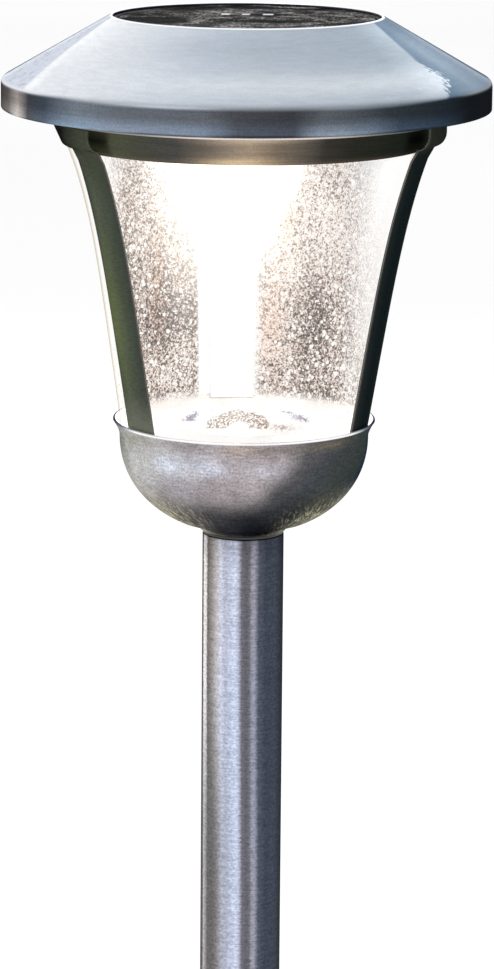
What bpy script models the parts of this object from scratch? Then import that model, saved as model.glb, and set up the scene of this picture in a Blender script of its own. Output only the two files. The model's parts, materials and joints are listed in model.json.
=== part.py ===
"""Solar garden light: a stainless lantern head on a pole with a ground spike.

The head is a conical cap with a round solar window, a flared seeded-glass lens inside a cage of
three straps, and a bowl. The cap carries the panel, battery, circuit board, switch and LED, and
comes off the collar by a twist of its bayonet. The bowl turns on a spigot that plugs into the
pole, and the pole plugs over the spike's stub.

Frame: +Z up, origin at the tip of the ground spike, on the pole's axis.
Sizes are in millimetres and are turned into metres where each mesh is made.
"""

import math

import bmesh
import bpy
from mathutils import Matrix, Vector

MM = 0.001

# Driving dimensions
GAP = 0.3  # clearance between pieces that touch on the real light
CAP_R = 75.0
POLE_R = 12.7
POLE_LENGTH = 242.0
SPIKE_LENGTH = 150.0
HEAD_HEIGHT = 160.1  # foot of the bowl's neck to the cap's top
STRAP_WIDTH = 13.8
STRAP_ANGLES = {"strap_left": -144.0, "strap_right": -24.0, "strap_rear": 96.0}
SHEET = 0.8  # formed stainless sheet

# Facets round a turned piece
ROUND = 40
SMALL_ROUND = 20
TINY_ROUND = 12

# Pole and spike
POLE_WALL = 1.0
POLE_BORE_R = POLE_R - POLE_WALL
FLANGE_R = 18.0
FLANGE_T = 4.0
STUB_R = 11.2
STUB_LENGTH = 30.0
FIN_REACH = 13.0
FIN_T = 3.0
FIN_TAPER_Z = 70.0
TIP_R = 1.6
SHOULDER_T = 0.7  # rim of the spigot, seen as a dark line between pole and bowl
POLE_FOOT = SPIKE_LENGTH + FLANGE_T + GAP
POLE_TOP = POLE_FOOT + POLE_LENGTH
NECK = POLE_TOP + GAP + SHOULDER_T + GAP

# Levels of the head, up from the neck
BOWL_EQUATOR = NECK + 30.4
RIM = NECK + 34.9
REFLECTOR_TOP = NECK + 30.6
LENS_FOOT = NECK + 32.3
LENS_TOP = NECK + 123.0
COLLAR_BOTTOM = NECK + 121.5
COLLAR_TOP = NECK + 130.0
SKIRT_BOTTOM = NECK + 132.1
CREASE = NECK + 140.6
CAP_TOP = NECK + HEAD_HEIGHT

# Radii of the head
NECK_R = 13.3
NECK_FLARE_R = 20.5  # where the neck's hollow curve meets the bowl's round side
BOWL_R = 38.7
BOWL_BELLY = 31.0
BOWL_FULLNESS = 2.16  # 2 is an ellipse; more is squarer
RIM_R = 41.0
COLLAR_BOTTOM_R = 56.6
COLLAR_FLARE = 0.457  # radius gained per unit of height
COLLAR_FLANGE_R = 64.4
OPENING_R = 41.0
CAP_SHOULDER_R = 42.6
HEM_R = 72.8
LENS_WALL = 2.2
LENS_RIM_R = 38.6
LENS_TAPER = 0.14  # radius gained per unit of height
LENS_FLARE = 5.2  # further radius gained by the mouth
LENS_FLARE_POWER = 5.2
STRAP_FOOT_R = 39.5
STRAP_TAPER = 0.175
STRAP_FLARE = 4.2
STRAP_FLARE_POWER = 4.7
STRAP_SHOULDER_R = 59.0  # where the shoulder starts, below the collar's flange
STRAP_R = 63.6
SCREW_BORE_R = 2.4
PLATE_T = 1.5  # clamp plate
CLAMP_R = 18.4
HUB_TOP = NECK + 5.6

# Bayonet between collar and cap
RING_BORE_R = 50.0
RING_R = 56.3
POCKET_R = 53.5
RING_BOTTOM = LENS_TOP + 1.9
RING_TOP = COLLAR_TOP - GAP
LEDGE = RING_BOTTOM + 2.1  # underside of the ledge that holds a lug down
LUG_R = 52.8
LUG_HALF_ANGLE = 7.0
NOTCH_HALF_ANGLE = 8.5
TWIST = 20.0  # turn from unlocked to locked, clockwise seen from above

# Cap housing
PLATE_R = 73.4
PLATE_BOTTOM = SKIRT_BOTTOM + 1.1
PLATE_TOP = PLATE_BOTTOM + 1.8
PLUG_R = 49.5
PLUG_BORE_R = 47.5
PLUG_BOTTOM = COLLAR_BOTTOM - 0.5
FLOOR_BOTTOM = PLUG_BOTTOM + 5.0
FLOOR_TOP = FLOOR_BOTTOM + 2.0
LED_HOLE_R = 9.6
BOSS_R = 3.4
BOSS_RING_R = 41.0
BOSS_ANGLES = (90.0, 210.0, 330.0)
TRAY_R = 43.4
TRAY_BORE_R = 41.6
TRAY_FLOOR = FLOOR_TOP + 19.0
TRAY_TOP = CAP_TOP - 2.6

# Battery bay, centred on x = 0
BAY = {"x": 30.0, "y0": 15.0, "y1": 31.0}
BAY_WALL = 1.6
BAY_TOP = FLOOR_TOP + 15.0
BATTERY_R = 7.25
BATTERY_LENGTH = 50.5
CONTACT_X = 29.1  # face of the positive contact
BATTERY_Y = 23.0
BATTERY_Z = FLOOR_TOP + 8.6
SPRING_WIRE_R = 0.4
DOOR_AXIS = {"y": 12.0, "z": FLOOR_BOTTOM - 2.4}
DOOR_T = 1.5
BARREL_R = 1.9

# Circuit board and slide switch
BOARD_BOTTOM = FLOOR_TOP + 3.0
BOARD_T = 1.6
SWITCH_Y = -23.0

# Panel stack
PANEL_BOARD_BOTTOM = CAP_TOP - 7.8
PANEL_BOARD_T = 1.6
CELL_T = 0.4
CELL_WIDTH = 13.2
CELL_LENGTH = 54.0
CELL_PITCH = 14.2
COVER_R = 41.3
COVER_EDGE_Z = CAP_TOP - 2.0
COVER_DOME_R = 39.4  # inside the gasket and the cap's opening
COVER_DOME_Z = CAP_TOP - 0.3
GASKET_BORE_R = 39.8


# ---------------------------------------------------------------- materials


def material(name, colour, metallic, roughness, alpha=1.0):
    made = bpy.data.materials.new(name)
    made.use_nodes = True
    shader = made.node_tree.nodes["Principled BSDF"]
    shader.inputs["Base Color"].default_value = (*colour, 1.0)
    shader.inputs["Metallic"].default_value = metallic
    shader.inputs["Roughness"].default_value = roughness
    shader.inputs["Alpha"].default_value = alpha
    return made


def make_materials():
    return {
        "steel": material("brushed_stainless", (0.60, 0.61, 0.63), 1.0, 0.32),
        "mirror": material("polished_reflector", (0.85, 0.85, 0.86), 1.0, 0.08),
        "glass": material("seeded_glass", (0.96, 0.95, 0.93), 0.0, 0.05, 0.35),
        "black": material("black_abs", (0.03, 0.03, 0.032), 0.0, 0.45),
        "rubber": material("black_rubber", (0.02, 0.02, 0.02), 0.0, 0.8),
        "silicone": material("clear_silicone", (0.80, 0.80, 0.78), 0.0, 0.4),
        "panel": material("panel_epoxy", (0.05, 0.05, 0.06), 0.0, 0.12, 0.35),
        "cell": material("solar_cell", (0.03, 0.035, 0.07), 0.1, 0.3),
        "board": material("circuit_board", (0.05, 0.20, 0.09), 0.0, 0.5),
        "spring": material("nickel_contact", (0.75, 0.72, 0.65), 1.0, 0.25),
        "battery": material("battery_jacket", (0.10, 0.35, 0.16), 0.0, 0.35),
        "led": material("led_epoxy", (0.98, 0.95, 0.80), 0.0, 0.1),
        "screw": material("zinc_screw", (0.70, 0.70, 0.72), 1.0, 0.3),
        "red": material("red_wire", (0.55, 0.03, 0.03), 0.0, 0.5),
        "dark": material("black_wire", (0.02, 0.02, 0.02), 0.0, 0.5),
        "white": material("switch_nylon", (0.85, 0.85, 0.83), 0.0, 0.4),
    }


# ---------------------------------------------------------------- geometry helpers


def link(name, bm):
    """One object from a bmesh in millimetres, with its mesh turned into metres."""
    bmesh.ops.recalc_face_normals(bm, faces=bm.faces)
    bmesh.ops.scale(bm, vec=(MM, MM, MM), verts=bm.verts)
    mesh = bpy.data.meshes.new(name)
    bm.to_mesh(mesh)
    bm.free()
    mesh.shade_smooth()
    mesh.set_sharp_from_angle(angle=math.radians(30))
    obj = bpy.data.objects.new(name, mesh)
    bpy.context.scene.collection.objects.link(obj)
    return obj


def finish(obj, paint, body):
    """Gives a piece its material and hangs it on the empty at its body's joint."""
    obj.data.materials.clear()
    obj.data.materials.append(paint)
    obj.parent = body
    obj.matrix_parent_inverse = body.matrix_world.inverted()
    return obj


def helper(obj):
    """Marks a shape that only cuts or joins another."""
    obj.hide_render = True
    obj.display_type = "WIRE"
    return obj


def boolean(obj, other, operation):
    modifier = obj.modifiers.new(operation.lower(), "BOOLEAN")
    modifier.operation = operation
    modifier.solver = "EXACT"
    modifier.object = helper(other)


def spin_profile(bm, profile, segments=ROUND):
    """Turns a closed (radius, height) outline about Z; an end on the axis closes there."""
    points = [bm.verts.new((r, 0, z)) for r, z in profile]
    pairs = list(zip(points, points[1:]))
    if profile[0][0] > 0 or profile[-1][0] > 0:
        pairs.append((points[-1], points[0]))
    edges = [bm.edges.new(pair) for pair in pairs]
    bmesh.ops.spin(
        bm,
        geom=points + edges,
        cent=(0, 0, 0),
        axis=(0, 0, 1),
        angle=math.tau,
        steps=segments,
        use_merge=True,
    )
    bmesh.ops.remove_doubles(bm, verts=bm.verts, dist=1e-4)


def turned(name, profile, segments=ROUND):
    bm = bmesh.new()
    spin_profile(bm, profile, segments)
    return link(name, bm)


def offset(path, distance):
    """The path moved to its right by distance, with mitred corners."""
    points = [Vector(p) for p in path]
    moved = []
    for i, point in enumerate(points):
        before = (point - points[i - 1]).normalized() if i else None
        after = (points[i + 1] - point).normalized() if i + 1 < len(points) else None
        before, after = before or after, after or before
        n1 = Vector((before.y, -before.x))
        n2 = Vector((after.y, -after.x))
        moved.append(tuple(point + (n1 + n2) * distance / (1 + n1.dot(n2))))
    return moved


def sheet_of(path, thickness=SHEET):
    """A closed outline: the path, then back along its right-hand side."""
    return list(path) + offset(path, thickness)[::-1]


def add_box(bm, x, y, z):
    centre = Vector(((x[0] + x[1]) / 2, (y[0] + y[1]) / 2, (z[0] + z[1]) / 2))
    size = Matrix.Diagonal((x[1] - x[0], y[1] - y[0], z[1] - z[0], 1.0))
    bmesh.ops.create_cube(bm, size=1.0, matrix=Matrix.Translation(centre) @ size)


def add_cylinder(bm, radius, z, at=(0.0, 0.0), segments=TINY_ROUND, top_radius=None):
    bmesh.ops.create_cone(
        bm,
        cap_ends=True,
        segments=segments,
        radius1=radius,
        radius2=radius if top_radius is None else top_radius,
        depth=z[1] - z[0],
        matrix=Matrix.Translation((at[0], at[1], (z[0] + z[1]) / 2)),
    )


def add_rod_x(bm, radius, x, at, segments=TINY_ROUND):
    """A cylinder along X, at = (y, z)."""
    turn = Matrix.Rotation(math.radians(90), 4, "Y")
    place = Matrix.Translation(((x[0] + x[1]) / 2, *at))
    bmesh.ops.create_cone(
        bm,
        cap_ends=True,
        segments=segments,
        radius1=radius,
        radius2=radius,
        depth=x[1] - x[0],
        matrix=place @ turn,
    )


def add_sector(bm, r, angles, z, steps=4):
    """A block between two radii, two angles in degrees and two heights."""
    corners = ((r[0], z[0]), (r[1], z[0]), (r[1], z[1]), (r[0], z[1]))
    rings = []
    for i in range(steps + 1):
        a = math.radians(angles[0] + (angles[1] - angles[0]) * i / steps)
        rings.append([bm.verts.new((p * math.cos(a), p * math.sin(a), h)) for p, h in corners])
    for near, far in zip(rings, rings[1:]):
        for k in range(4):
            bm.faces.new((near[k], near[k - 1], far[k - 1], far[k]))
    bm.faces.new(rings[0])
    bm.faces.new(rings[-1][::-1])


def boss_places():
    for angle in BOSS_ANGLES:
        a = math.radians(angle)
        yield BOSS_RING_R * math.cos(a), BOSS_RING_R * math.sin(a)


def wire(name, points, radius=0.6):
    """A round wire through the points, as a smooth curve."""
    curve = bpy.data.curves.new(name, "CURVE")
    curve.dimensions = "3D"
    curve.bevel_depth = radius * MM
    curve.bevel_resolution = 1
    curve.use_fill_caps = True
    curve.resolution_u = 3
    spline = curve.splines.new("NURBS")
    spline.points.add(len(points) - 1)
    for target, point in zip(spline.points, points):
        target.co = (*(Vector(point) * MM), 1.0)
    spline.order_u = 3
    spline.use_endpoint_u = True
    obj = bpy.data.objects.new(name, curve)
    bpy.context.scene.collection.objects.link(obj)
    return obj


# ---------------------------------------------------------------- spike and pole


def spike_blade():
    """Cross-shaped blade: four fins that keep their reach, then taper to the tip."""
    levels = (
        (0.0, TIP_R, 0.8),
        (FIN_TAPER_Z, FIN_REACH - 2.0, FIN_T / 2),
        (SPIKE_LENGTH - 8.0, FIN_REACH, FIN_T / 2),
        (SPIKE_LENGTH + FLANGE_T / 2, FIN_REACH, FIN_T / 2),
    )
    bm = bmesh.new()
    rings = []
    for z, reach, half in levels:
        arm = [(reach, -half), (reach, half), (half, half)]
        ring = []
        for quarter in range(4):
            turn = Matrix.Rotation(quarter * math.pi / 2, 3, "Z")
            ring += [bm.verts.new(turn @ Vector((x, y, z))) for x, y in arm]
        rings.append(ring)
    for low, high in zip(rings, rings[1:]):
        for k in range(len(low)):
            bm.faces.new((low[k - 1], low[k], high[k], high[k - 1]))
    bm.faces.new(rings[0][::-1])
    bm.faces.new(rings[-1])
    return link("spike_blade", bm)


def ground_spike():
    """Finned blade below a flange, and a stub that plugs into the pole."""
    flange_top = SPIKE_LENGTH + FLANGE_T
    stub_top = flange_top + STUB_LENGTH
    stake = turned(
        "ground_spike",
        [
            (0, SPIKE_LENGTH),
            (FLANGE_R, SPIKE_LENGTH),
            (FLANGE_R, flange_top),
            (STUB_R, flange_top),
            (STUB_R, stub_top - 2),
            (STUB_R - 2, stub_top),
            (0, stub_top),
        ],
    )
    boolean(stake, spike_blade(), "UNION")
    return stake


def pole_tube():
    return turned(
        "pole_tube",
        [(POLE_BORE_R, POLE_FOOT), (POLE_R, POLE_FOOT), (POLE_R, POLE_TOP), (POLE_BORE_R, POLE_TOP)],
    )


# ---------------------------------------------------------------- neck and bowl


def pole_spigot():
    """Plastic plug in the pole's top, with a thin rim under the bowl and a hub up inside its neck."""
    foot = NECK - 28.0
    rim_bottom = POLE_TOP + GAP
    rim_r = POLE_R - 0.1
    hub_r = NECK_R - SHEET - 0.4
    return turned(
        "pole_spigot",
        [
            (SCREW_BORE_R, foot),
            (STUB_R - 2, foot),
            (STUB_R, foot + 2),
            (STUB_R, rim_bottom),
            (rim_r, rim_bottom),
            (rim_r, rim_bottom + SHOULDER_T),
            (hub_r, rim_bottom + SHOULDER_T),
            (hub_r, HUB_TOP),
            (SCREW_BORE_R, HUB_TOP),
        ],
    )


def clamp_plate():
    """Steel disc inside the bowl that the screw pulls down on to its neck."""
    low = HUB_TOP + GAP
    high = low + PLATE_T
    return turned("clamp_plate", [(SCREW_BORE_R, low), (CLAMP_R, low), (CLAMP_R, high), (SCREW_BORE_R, high)])


def neck_screw():
    seat = HUB_TOP + GAP + PLATE_T + GAP
    tip = NECK - 20.0
    head = [(4.0, seat), (4.0, seat + 1.4), (2.8, seat + 2.4), (0, seat + 2.4)]
    return turned("neck_screw", [(0, tip), (2.0, tip), (2.0, seat), *head], TINY_ROUND)


def neck_curve(steps):
    """Hollow curve from the neck's foot out to the round side of the bowl."""
    ends = Vector((NECK_R, NECK)), Vector((NECK_FLARE_R, bowl_level(NECK_FLARE_R)))
    pull = Vector((NECK_R + 1.1, NECK + 1.7))
    points = []
    for i in range(steps):
        t = i / steps
        point = (1 - t) ** 2 * ends[0] + 2 * t * (1 - t) * pull + t**2 * ends[1]
        points.append(tuple(point))
    return points


def bowl_level(radius):
    """Height of the bowl's round side at a radius."""
    share = (1 - (radius / BOWL_R) ** BOWL_FULLNESS) ** (1 / BOWL_FULLNESS)
    return BOWL_EQUATOR - BOWL_BELLY * share


def bowl_path():
    """Outer face of the bowl: neck curve, round side and flared lip."""
    start = math.asin((NECK_FLARE_R / BOWL_R) ** (BOWL_FULLNESS / 2))
    side = []
    steps = 6
    for i in range(steps + 1):
        t = start + (math.pi / 2 - start) * i / steps
        radius = BOWL_R * math.sin(t) ** (2 / BOWL_FULLNESS)
        side.append((radius, bowl_level(min(radius, BOWL_R))))
    lip = [(RIM_R - 1.0, RIM - 2.0), (RIM_R, RIM)]
    return neck_curve(4) + side + lip


def bowl():
    path = bowl_path()
    inside = offset(path, -SHEET)
    inside[0] = (inside[0][0], NECK)
    return turned("bowl", path + inside[::-1])


def base_reflector():
    """Polished dish under the lens, with a low cone that throws the light outwards."""
    path = [
        (0, REFLECTOR_TOP + 3.4),
        (4, REFLECTOR_TOP + 3.4),
        (19, REFLECTOR_TOP + 1.2),
        (20.5, REFLECTOR_TOP),
        (37.6, REFLECTOR_TOP),
    ]
    return turned("base_reflector", sheet_of(path))


def lens_foot_gasket():
    low = REFLECTOR_TOP + GAP
    high = LENS_FOOT - GAP
    return turned("lens_foot_gasket", [(34.8, low), (37.8, low), (37.8, high), (34.8, high)])


# ---------------------------------------------------------------- lens and cage


def lens_radius(z):
    """Outer radius: a slight taper that flares into a bell mouth near the top."""
    up = max(z - RIM, 0.0)
    return LENS_RIM_R + LENS_TAPER * up + LENS_FLARE * (up / (LENS_TOP - RIM)) ** LENS_FLARE_POWER


def lens():
    foot = LENS_FOOT + 0.8
    shares = (0, 0.2, 0.4, 0.55, 0.67, 0.77, 0.86, 0.93, 1)
    levels = [foot + (LENS_TOP - foot) * share for share in shares]
    path = [(37.2, LENS_FOOT), *((lens_radius(z), z) for z in levels)]
    inside = offset(path, -LENS_WALL)
    inside[0] = (inside[0][0], LENS_FOOT)
    inside[-1] = (inside[-1][0], LENS_TOP)
    return turned("lens", path + inside[::-1])


def lens_top_gasket():
    low = LENS_TOP + GAP
    return turned("lens_top_gasket", [(52.4, low), (55.4, low), (55.6, low + 1.2), (52.4, low + 1.2)])


def collar_radius(z):
    return COLLAR_BOTTOM_R + COLLAR_FLARE * (z - COLLAR_BOTTOM)


def collar_ring():
    """Conical band round the lens's mouth, turned out into a flange at the top."""
    top = COLLAR_TOP + SHEET
    return turned(
        "collar_ring",
        [
            (COLLAR_BOTTOM_R - SHEET, COLLAR_BOTTOM),
            (COLLAR_BOTTOM_R, COLLAR_BOTTOM),
            (collar_radius(COLLAR_TOP), COLLAR_TOP),
            (COLLAR_FLANGE_R, COLLAR_TOP),
            (COLLAR_FLANGE_R, top),
            (collar_radius(top) - SHEET, top),
        ],
    )


def strap_path():
    """Outer face of a strap, rim to shoulder: a taper with a flare, then a quarter-round step."""
    height, width = 4.8, STRAP_R - STRAP_SHOULDER_R
    centre_z = COLLAR_TOP - 2.6
    bend = centre_z - height - RIM
    path = []
    for share in (-0.01, 0.12, 0.3, 0.5, 0.66, 0.78, 0.88, 0.96):
        up = share * bend
        flare = STRAP_FLARE * max(share, 0.0) ** STRAP_FLARE_POWER
        path.append((STRAP_FOOT_R + STRAP_TAPER * up + flare, RIM - 0.2 + up))
    for degrees in (10, 32, 54, 75, 90):
        a = math.radians(degrees)
        path.append((STRAP_SHOULDER_R + width * math.sin(a), centre_z - height * math.cos(a)))
    return path + [(STRAP_R, COLLAR_TOP - GAP)]


def strap_mesh():
    """A strip of constant width that wraps round the axis, with the given thickness."""
    thickness = 0.6
    columns = 4
    outer = strap_path()
    inner = offset(outer, -thickness)
    inner[0] = (inner[0][0], outer[0][1])
    inner[-1] = (inner[-1][0], outer[-1][1])
    bm = bmesh.new()
    grids = []
    for path in (outer, inner):
        grid = []
        for r, z in path:
            angles = [(j / columns - 0.5) * STRAP_WIDTH / r for j in range(columns + 1)]
            grid.append([bm.verts.new((r * math.cos(a), r * math.sin(a), z)) for a in angles])
        grids.append(grid)
    front, back = grids
    for grid in grids:
        for low, high in zip(grid, grid[1:]):
            for j in range(columns):
                bm.faces.new((low[j], low[j + 1], high[j + 1], high[j]))
    for i in range(len(outer) - 1):
        for j in (0, columns):
            bm.faces.new((front[i][j], front[i + 1][j], back[i + 1][j], back[i][j]))
    for row in (0, -1):
        for j in range(columns):
            bm.faces.new((front[row][j], front[row][j + 1], back[row][j + 1], back[row][j]))
    return bm


def straps():
    first = link("strap_left", strap_mesh())
    made = [first]
    for name in list(STRAP_ANGLES)[1:]:
        copy = bpy.data.objects.new(name, first.data.copy())
        bpy.context.scene.collection.objects.link(copy)
        made.append(copy)
    for obj in made:
        obj.rotation_euler.z = math.radians(STRAP_ANGLES[obj.name])
    return made


def bayonet_ring():
    """Plastic ring in the collar, with three L-shaped slots for the cap's lugs."""
    ring = turned(
        "bayonet_ring",
        [(RING_BORE_R, RING_BOTTOM), (RING_R, RING_BOTTOM), (RING_R, RING_TOP), (RING_BORE_R, RING_TOP)],
    )
    notches, runs = bmesh.new(), bmesh.new()
    for angle in STRAP_ANGLES.values():
        low, high = angle - NOTCH_HALF_ANGLE, angle + NOTCH_HALF_ANGLE
        add_sector(notches, (45, POCKET_R), (low, high), (RING_BOTTOM - 1, RING_TOP + 1))
        add_sector(runs, (45, POCKET_R), (low - TWIST, high), (RING_BOTTOM - 1, LEDGE), steps=6)
    boolean(ring, link("bayonet_notches", notches), "DIFFERENCE")
    boolean(ring, link("bayonet_runs", runs), "DIFFERENCE")
    return ring


# ---------------------------------------------------------------- cap and housing


def cap_seal():
    low = COLLAR_TOP + SHEET + GAP
    high = PLATE_BOTTOM - GAP
    return turned("cap_seal", [(50.3, low), (63.6, low), (63.6, high), (50.3, high)])


def cap_path():
    """Outer face of the cap: lip, cone, rounded edge, skirt and hem."""
    slope = math.atan2(CAP_TOP - CREASE, CAP_R - CAP_SHOULDER_R)
    tangent = 1.4
    radius = tangent / math.tan((math.pi / 2 - slope) / 2)
    centre = (CAP_R - radius, CREASE - tangent)
    path = [(OPENING_R, CAP_TOP), (CAP_SHOULDER_R, CAP_TOP)]
    for share in (0, 1 / 3, 2 / 3, 1):
        a = (math.pi / 2 - slope) * (1 - share)
        path.append((centre[0] + radius * math.cos(a), centre[1] + radius * math.sin(a)))
    return path + [(CAP_R, SKIRT_BOTTOM), (HEM_R, SKIRT_BOTTOM)]


def cap_shell():
    return turned("cap_shell", sheet_of(cap_path()))


def housing():
    """Black moulding that closes the cap: plate, plug with lugs, floor and battery bay."""
    body = turned(
        "cap_housing",
        [
            (LED_HOLE_R, FLOOR_BOTTOM),
            (PLUG_BORE_R, FLOOR_BOTTOM),
            (PLUG_BORE_R, PLUG_BOTTOM),
            (PLUG_R, PLUG_BOTTOM),
            (PLUG_R, PLATE_BOTTOM),
            (PLATE_R, PLATE_BOTTOM),
            (PLATE_R, PLATE_TOP),
            (PLUG_BORE_R, PLATE_TOP),
            (PLUG_BORE_R, FLOOR_TOP),
            (LED_HOLE_R, FLOOR_TOP),
        ],
    )
    added = bmesh.new()
    outer_x, bury = BAY["x"] + BAY_WALL, FLOOR_TOP - 0.5
    add_box(added, (-outer_x, outer_x), (BAY["y0"] - BAY_WALL, BAY["y1"] + BAY_WALL), (bury, BAY_TOP))
    for x in (-14.0, 14.0):
        add_cylinder(added, 2.4, (bury, BOARD_BOTTOM - GAP), (x, -30.0))
    for side in (-1, 1):
        x = sorted((side * 10.2, side * 12.6))
        z = (DOOR_AXIS["z"] - BARREL_R, FLOOR_BOTTOM + 0.5)
        add_box(added, x, (DOOR_AXIS["y"] - BARREL_R, DOOR_AXIS["y"] + BARREL_R), z)
    for angle in STRAP_ANGLES.values():
        low, high = angle - LUG_HALF_ANGLE, angle + LUG_HALF_ANGLE
        add_sector(added, (PLUG_R - 1.0, LUG_R), (low, high), (RING_BOTTOM, LEDGE - GAP))
    boolean(body, link("housing_additions", added), "UNION")

    cuts = bmesh.new()
    add_box(cuts, (-BAY["x"], BAY["x"]), (BAY["y0"], BAY["y1"]), (FLOOR_BOTTOM - 1, BAY_TOP + 1))
    add_box(cuts, (6.0, 15.0), (SWITCH_Y - 1.6, SWITCH_Y + 1.6), (FLOOR_BOTTOM - 1, FLOOR_TOP + 1))
    for place in boss_places():
        add_cylinder(cuts, 1.8, (FLOOR_BOTTOM - 1, FLOOR_TOP + 1), place)
    add_rod_x(cuts, 1.05, (-13.5, 13.5), (DOOR_AXIS["y"], DOOR_AXIS["z"]))
    for x in (-14.0, 14.0):
        add_cylinder(cuts, 1.3, (FLOOR_TOP + 0.3, BOARD_BOTTOM + 1), (x, -30.0))
    boolean(body, link("housing_cuts", cuts), "DIFFERENCE")
    return body


def housing_screws():
    """Three screws that hold the housing to the tray, with their heads under the floor."""
    made = []
    head = FLOOR_BOTTOM - GAP
    for number, (x, y) in enumerate(boss_places(), 1):
        bm = bmesh.new()
        tip = FLOOR_TOP + 9.0
        head_outline = [(0, head - 2.2), (2.0, head - 2.2), (3.0, head - 1.2), (3.0, head)]
        spin_profile(bm, [*head_outline, (1.4, head), (1.4, tip), (0, tip)], TINY_ROUND)
        bmesh.ops.translate(bm, vec=(x, y, 0), verts=bm.verts)
        made.append(link(f"housing_screw_{number}", bm))
    return made


def panel_tray():
    """Plastic cup glued in the cap; it carries the panel and the screw bosses."""
    tray = turned(
        "panel_tray",
        [
            (3.0, TRAY_FLOOR),
            (TRAY_R, TRAY_FLOOR),
            (TRAY_R, TRAY_TOP),
            (TRAY_BORE_R, TRAY_TOP),
            (TRAY_BORE_R, PANEL_BOARD_BOTTOM - GAP),
            (TRAY_BORE_R - 3.6, PANEL_BOARD_BOTTOM - GAP),
            (TRAY_BORE_R - 3.6, TRAY_FLOOR + 2.0),
            (3.0, TRAY_FLOOR + 2.0),
        ],
    )
    bosses, bores = bmesh.new(), bmesh.new()
    for place in boss_places():
        add_cylinder(bosses, BOSS_R, (FLOOR_TOP + GAP, TRAY_FLOOR + 0.5), place)
        add_cylinder(bores, 1.7, (FLOOR_TOP - 1, FLOOR_TOP + 11), place)
    boolean(tray, link("tray_bosses", bosses), "UNION")
    boolean(tray, link("tray_bores", bores), "DIFFERENCE")
    return tray


def panel_board():
    low = PANEL_BOARD_BOTTOM
    high = low + PANEL_BOARD_T
    return turned("panel_board", [(0, low), (41.2, low), (41.2, high), (0, high)])


def solar_cells():
    made = []
    low = PANEL_BOARD_BOTTOM + PANEL_BOARD_T + GAP
    for number in range(4):
        x = (number - 1.5) * CELL_PITCH
        bm = bmesh.new()
        half_width, half_length = CELL_WIDTH / 2, CELL_LENGTH / 2
        add_box(bm, (x - half_width, x + half_width), (-half_length, half_length), (low, low + CELL_T))
        made.append(link(f"solar_cell_{number + 1}", bm))
    return made


def panel_cover():
    """Clear cover whose low dome fills the cap's opening."""
    low = PANEL_BOARD_BOTTOM + PANEL_BOARD_T + CELL_T + 2 * GAP
    return turned(
        "panel_cover",
        [
            (0, low),
            (COVER_R, low),
            (COVER_R, COVER_EDGE_Z),
            (COVER_DOME_R, COVER_EDGE_Z),
            (COVER_DOME_R - 0.5, COVER_DOME_Z - 0.6),
            (COVER_DOME_R - 3.0, COVER_DOME_Z - 0.2),
            (0, COVER_DOME_Z),
        ],
    )


def panel_gasket():
    low = COVER_EDGE_Z + GAP
    high = CAP_TOP - SHEET - GAP
    outline = [(GASKET_BORE_R, low), (COVER_R, low), (COVER_R, high), (GASKET_BORE_R, high)]
    return turned("panel_gasket", outline)


# ---------------------------------------------------------------- battery and its door


def battery():
    """AA-size cell lying along X, with its positive end at the contact plate."""
    end = CONTACT_X - GAP
    start = end - BATTERY_LENGTH
    nub = end - 1.2
    profile = [(0, start), (BATTERY_R, start), (BATTERY_R, nub), (2.7, nub), (2.7, end), (0, end)]
    bm = bmesh.new()
    spin_profile(bm, profile, SMALL_ROUND)
    bmesh.ops.rotate(bm, cent=(0, 0, 0), matrix=Matrix.Rotation(math.radians(90), 3, "Y"), verts=bm.verts)
    bmesh.ops.translate(bm, vec=(0, BATTERY_Y, BATTERY_Z), verts=bm.verts)
    return link("battery", bm)


def battery_plate():
    bm = bmesh.new()
    add_box(bm, (CONTACT_X, 29.7), (BATTERY_Y - 5, BATTERY_Y + 5), (BATTERY_Z - 5, BATTERY_Z + 5))
    return link("battery_plate", bm)


def battery_spring():
    """Conical coil from the bay's end wall to the battery's negative end."""
    turns, per_turn = 3.5, 8
    count = int(turns * per_turn)
    start = -BAY["x"] + GAP + SPRING_WIRE_R
    end = CONTACT_X - GAP - BATTERY_LENGTH - GAP - SPRING_WIRE_R
    points = []
    for i in range(count + 1):
        share = i / count
        a = math.tau * turns * share
        radius = 4.2 - 1.8 * share
        x = start + (end - start) * share
        points.append((x, BATTERY_Y + radius * math.cos(a), BATTERY_Z + radius * math.sin(a)))
    return wire("battery_spring", points, SPRING_WIRE_R)


def battery_door():
    """Flat door under the bay, with a barrel on the hinge axis and a finger tab."""
    y, z = DOOR_AXIS["y"], DOOR_AXIS["z"]
    top = FLOOR_BOTTOM - GAP
    plate = bmesh.new()
    add_box(plate, (-31.0, 31.0), (y + BARREL_R + 1.0, 34.5), (top - DOOR_T, top))
    door = link("battery_door", plate)
    added = bmesh.new()
    add_box(added, (-9.5, 9.5), (y, y + BARREL_R + 2.0), (top - DOOR_T, top))
    add_box(added, (-5.0, 5.0), (34.0, 36.6), (top - DOOR_T, top))
    boolean(door, link("door_web_and_tab", added), "UNION")
    barrel = bmesh.new()
    add_rod_x(barrel, BARREL_R, (-9.5, 9.5), (y, z))
    boolean(door, link("door_barrel", barrel), "UNION")
    bore = bmesh.new()
    add_rod_x(bore, 1.05, (-10.5, 10.5), (y, z))
    boolean(door, link("door_bore", bore), "DIFFERENCE")
    return door


def door_pin():
    bm = bmesh.new()
    add_rod_x(bm, 0.75, (-12.6, 12.6), (DOOR_AXIS["y"], DOOR_AXIS["z"]))
    return link("door_pin", bm)


# ---------------------------------------------------------------- electronics


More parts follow.
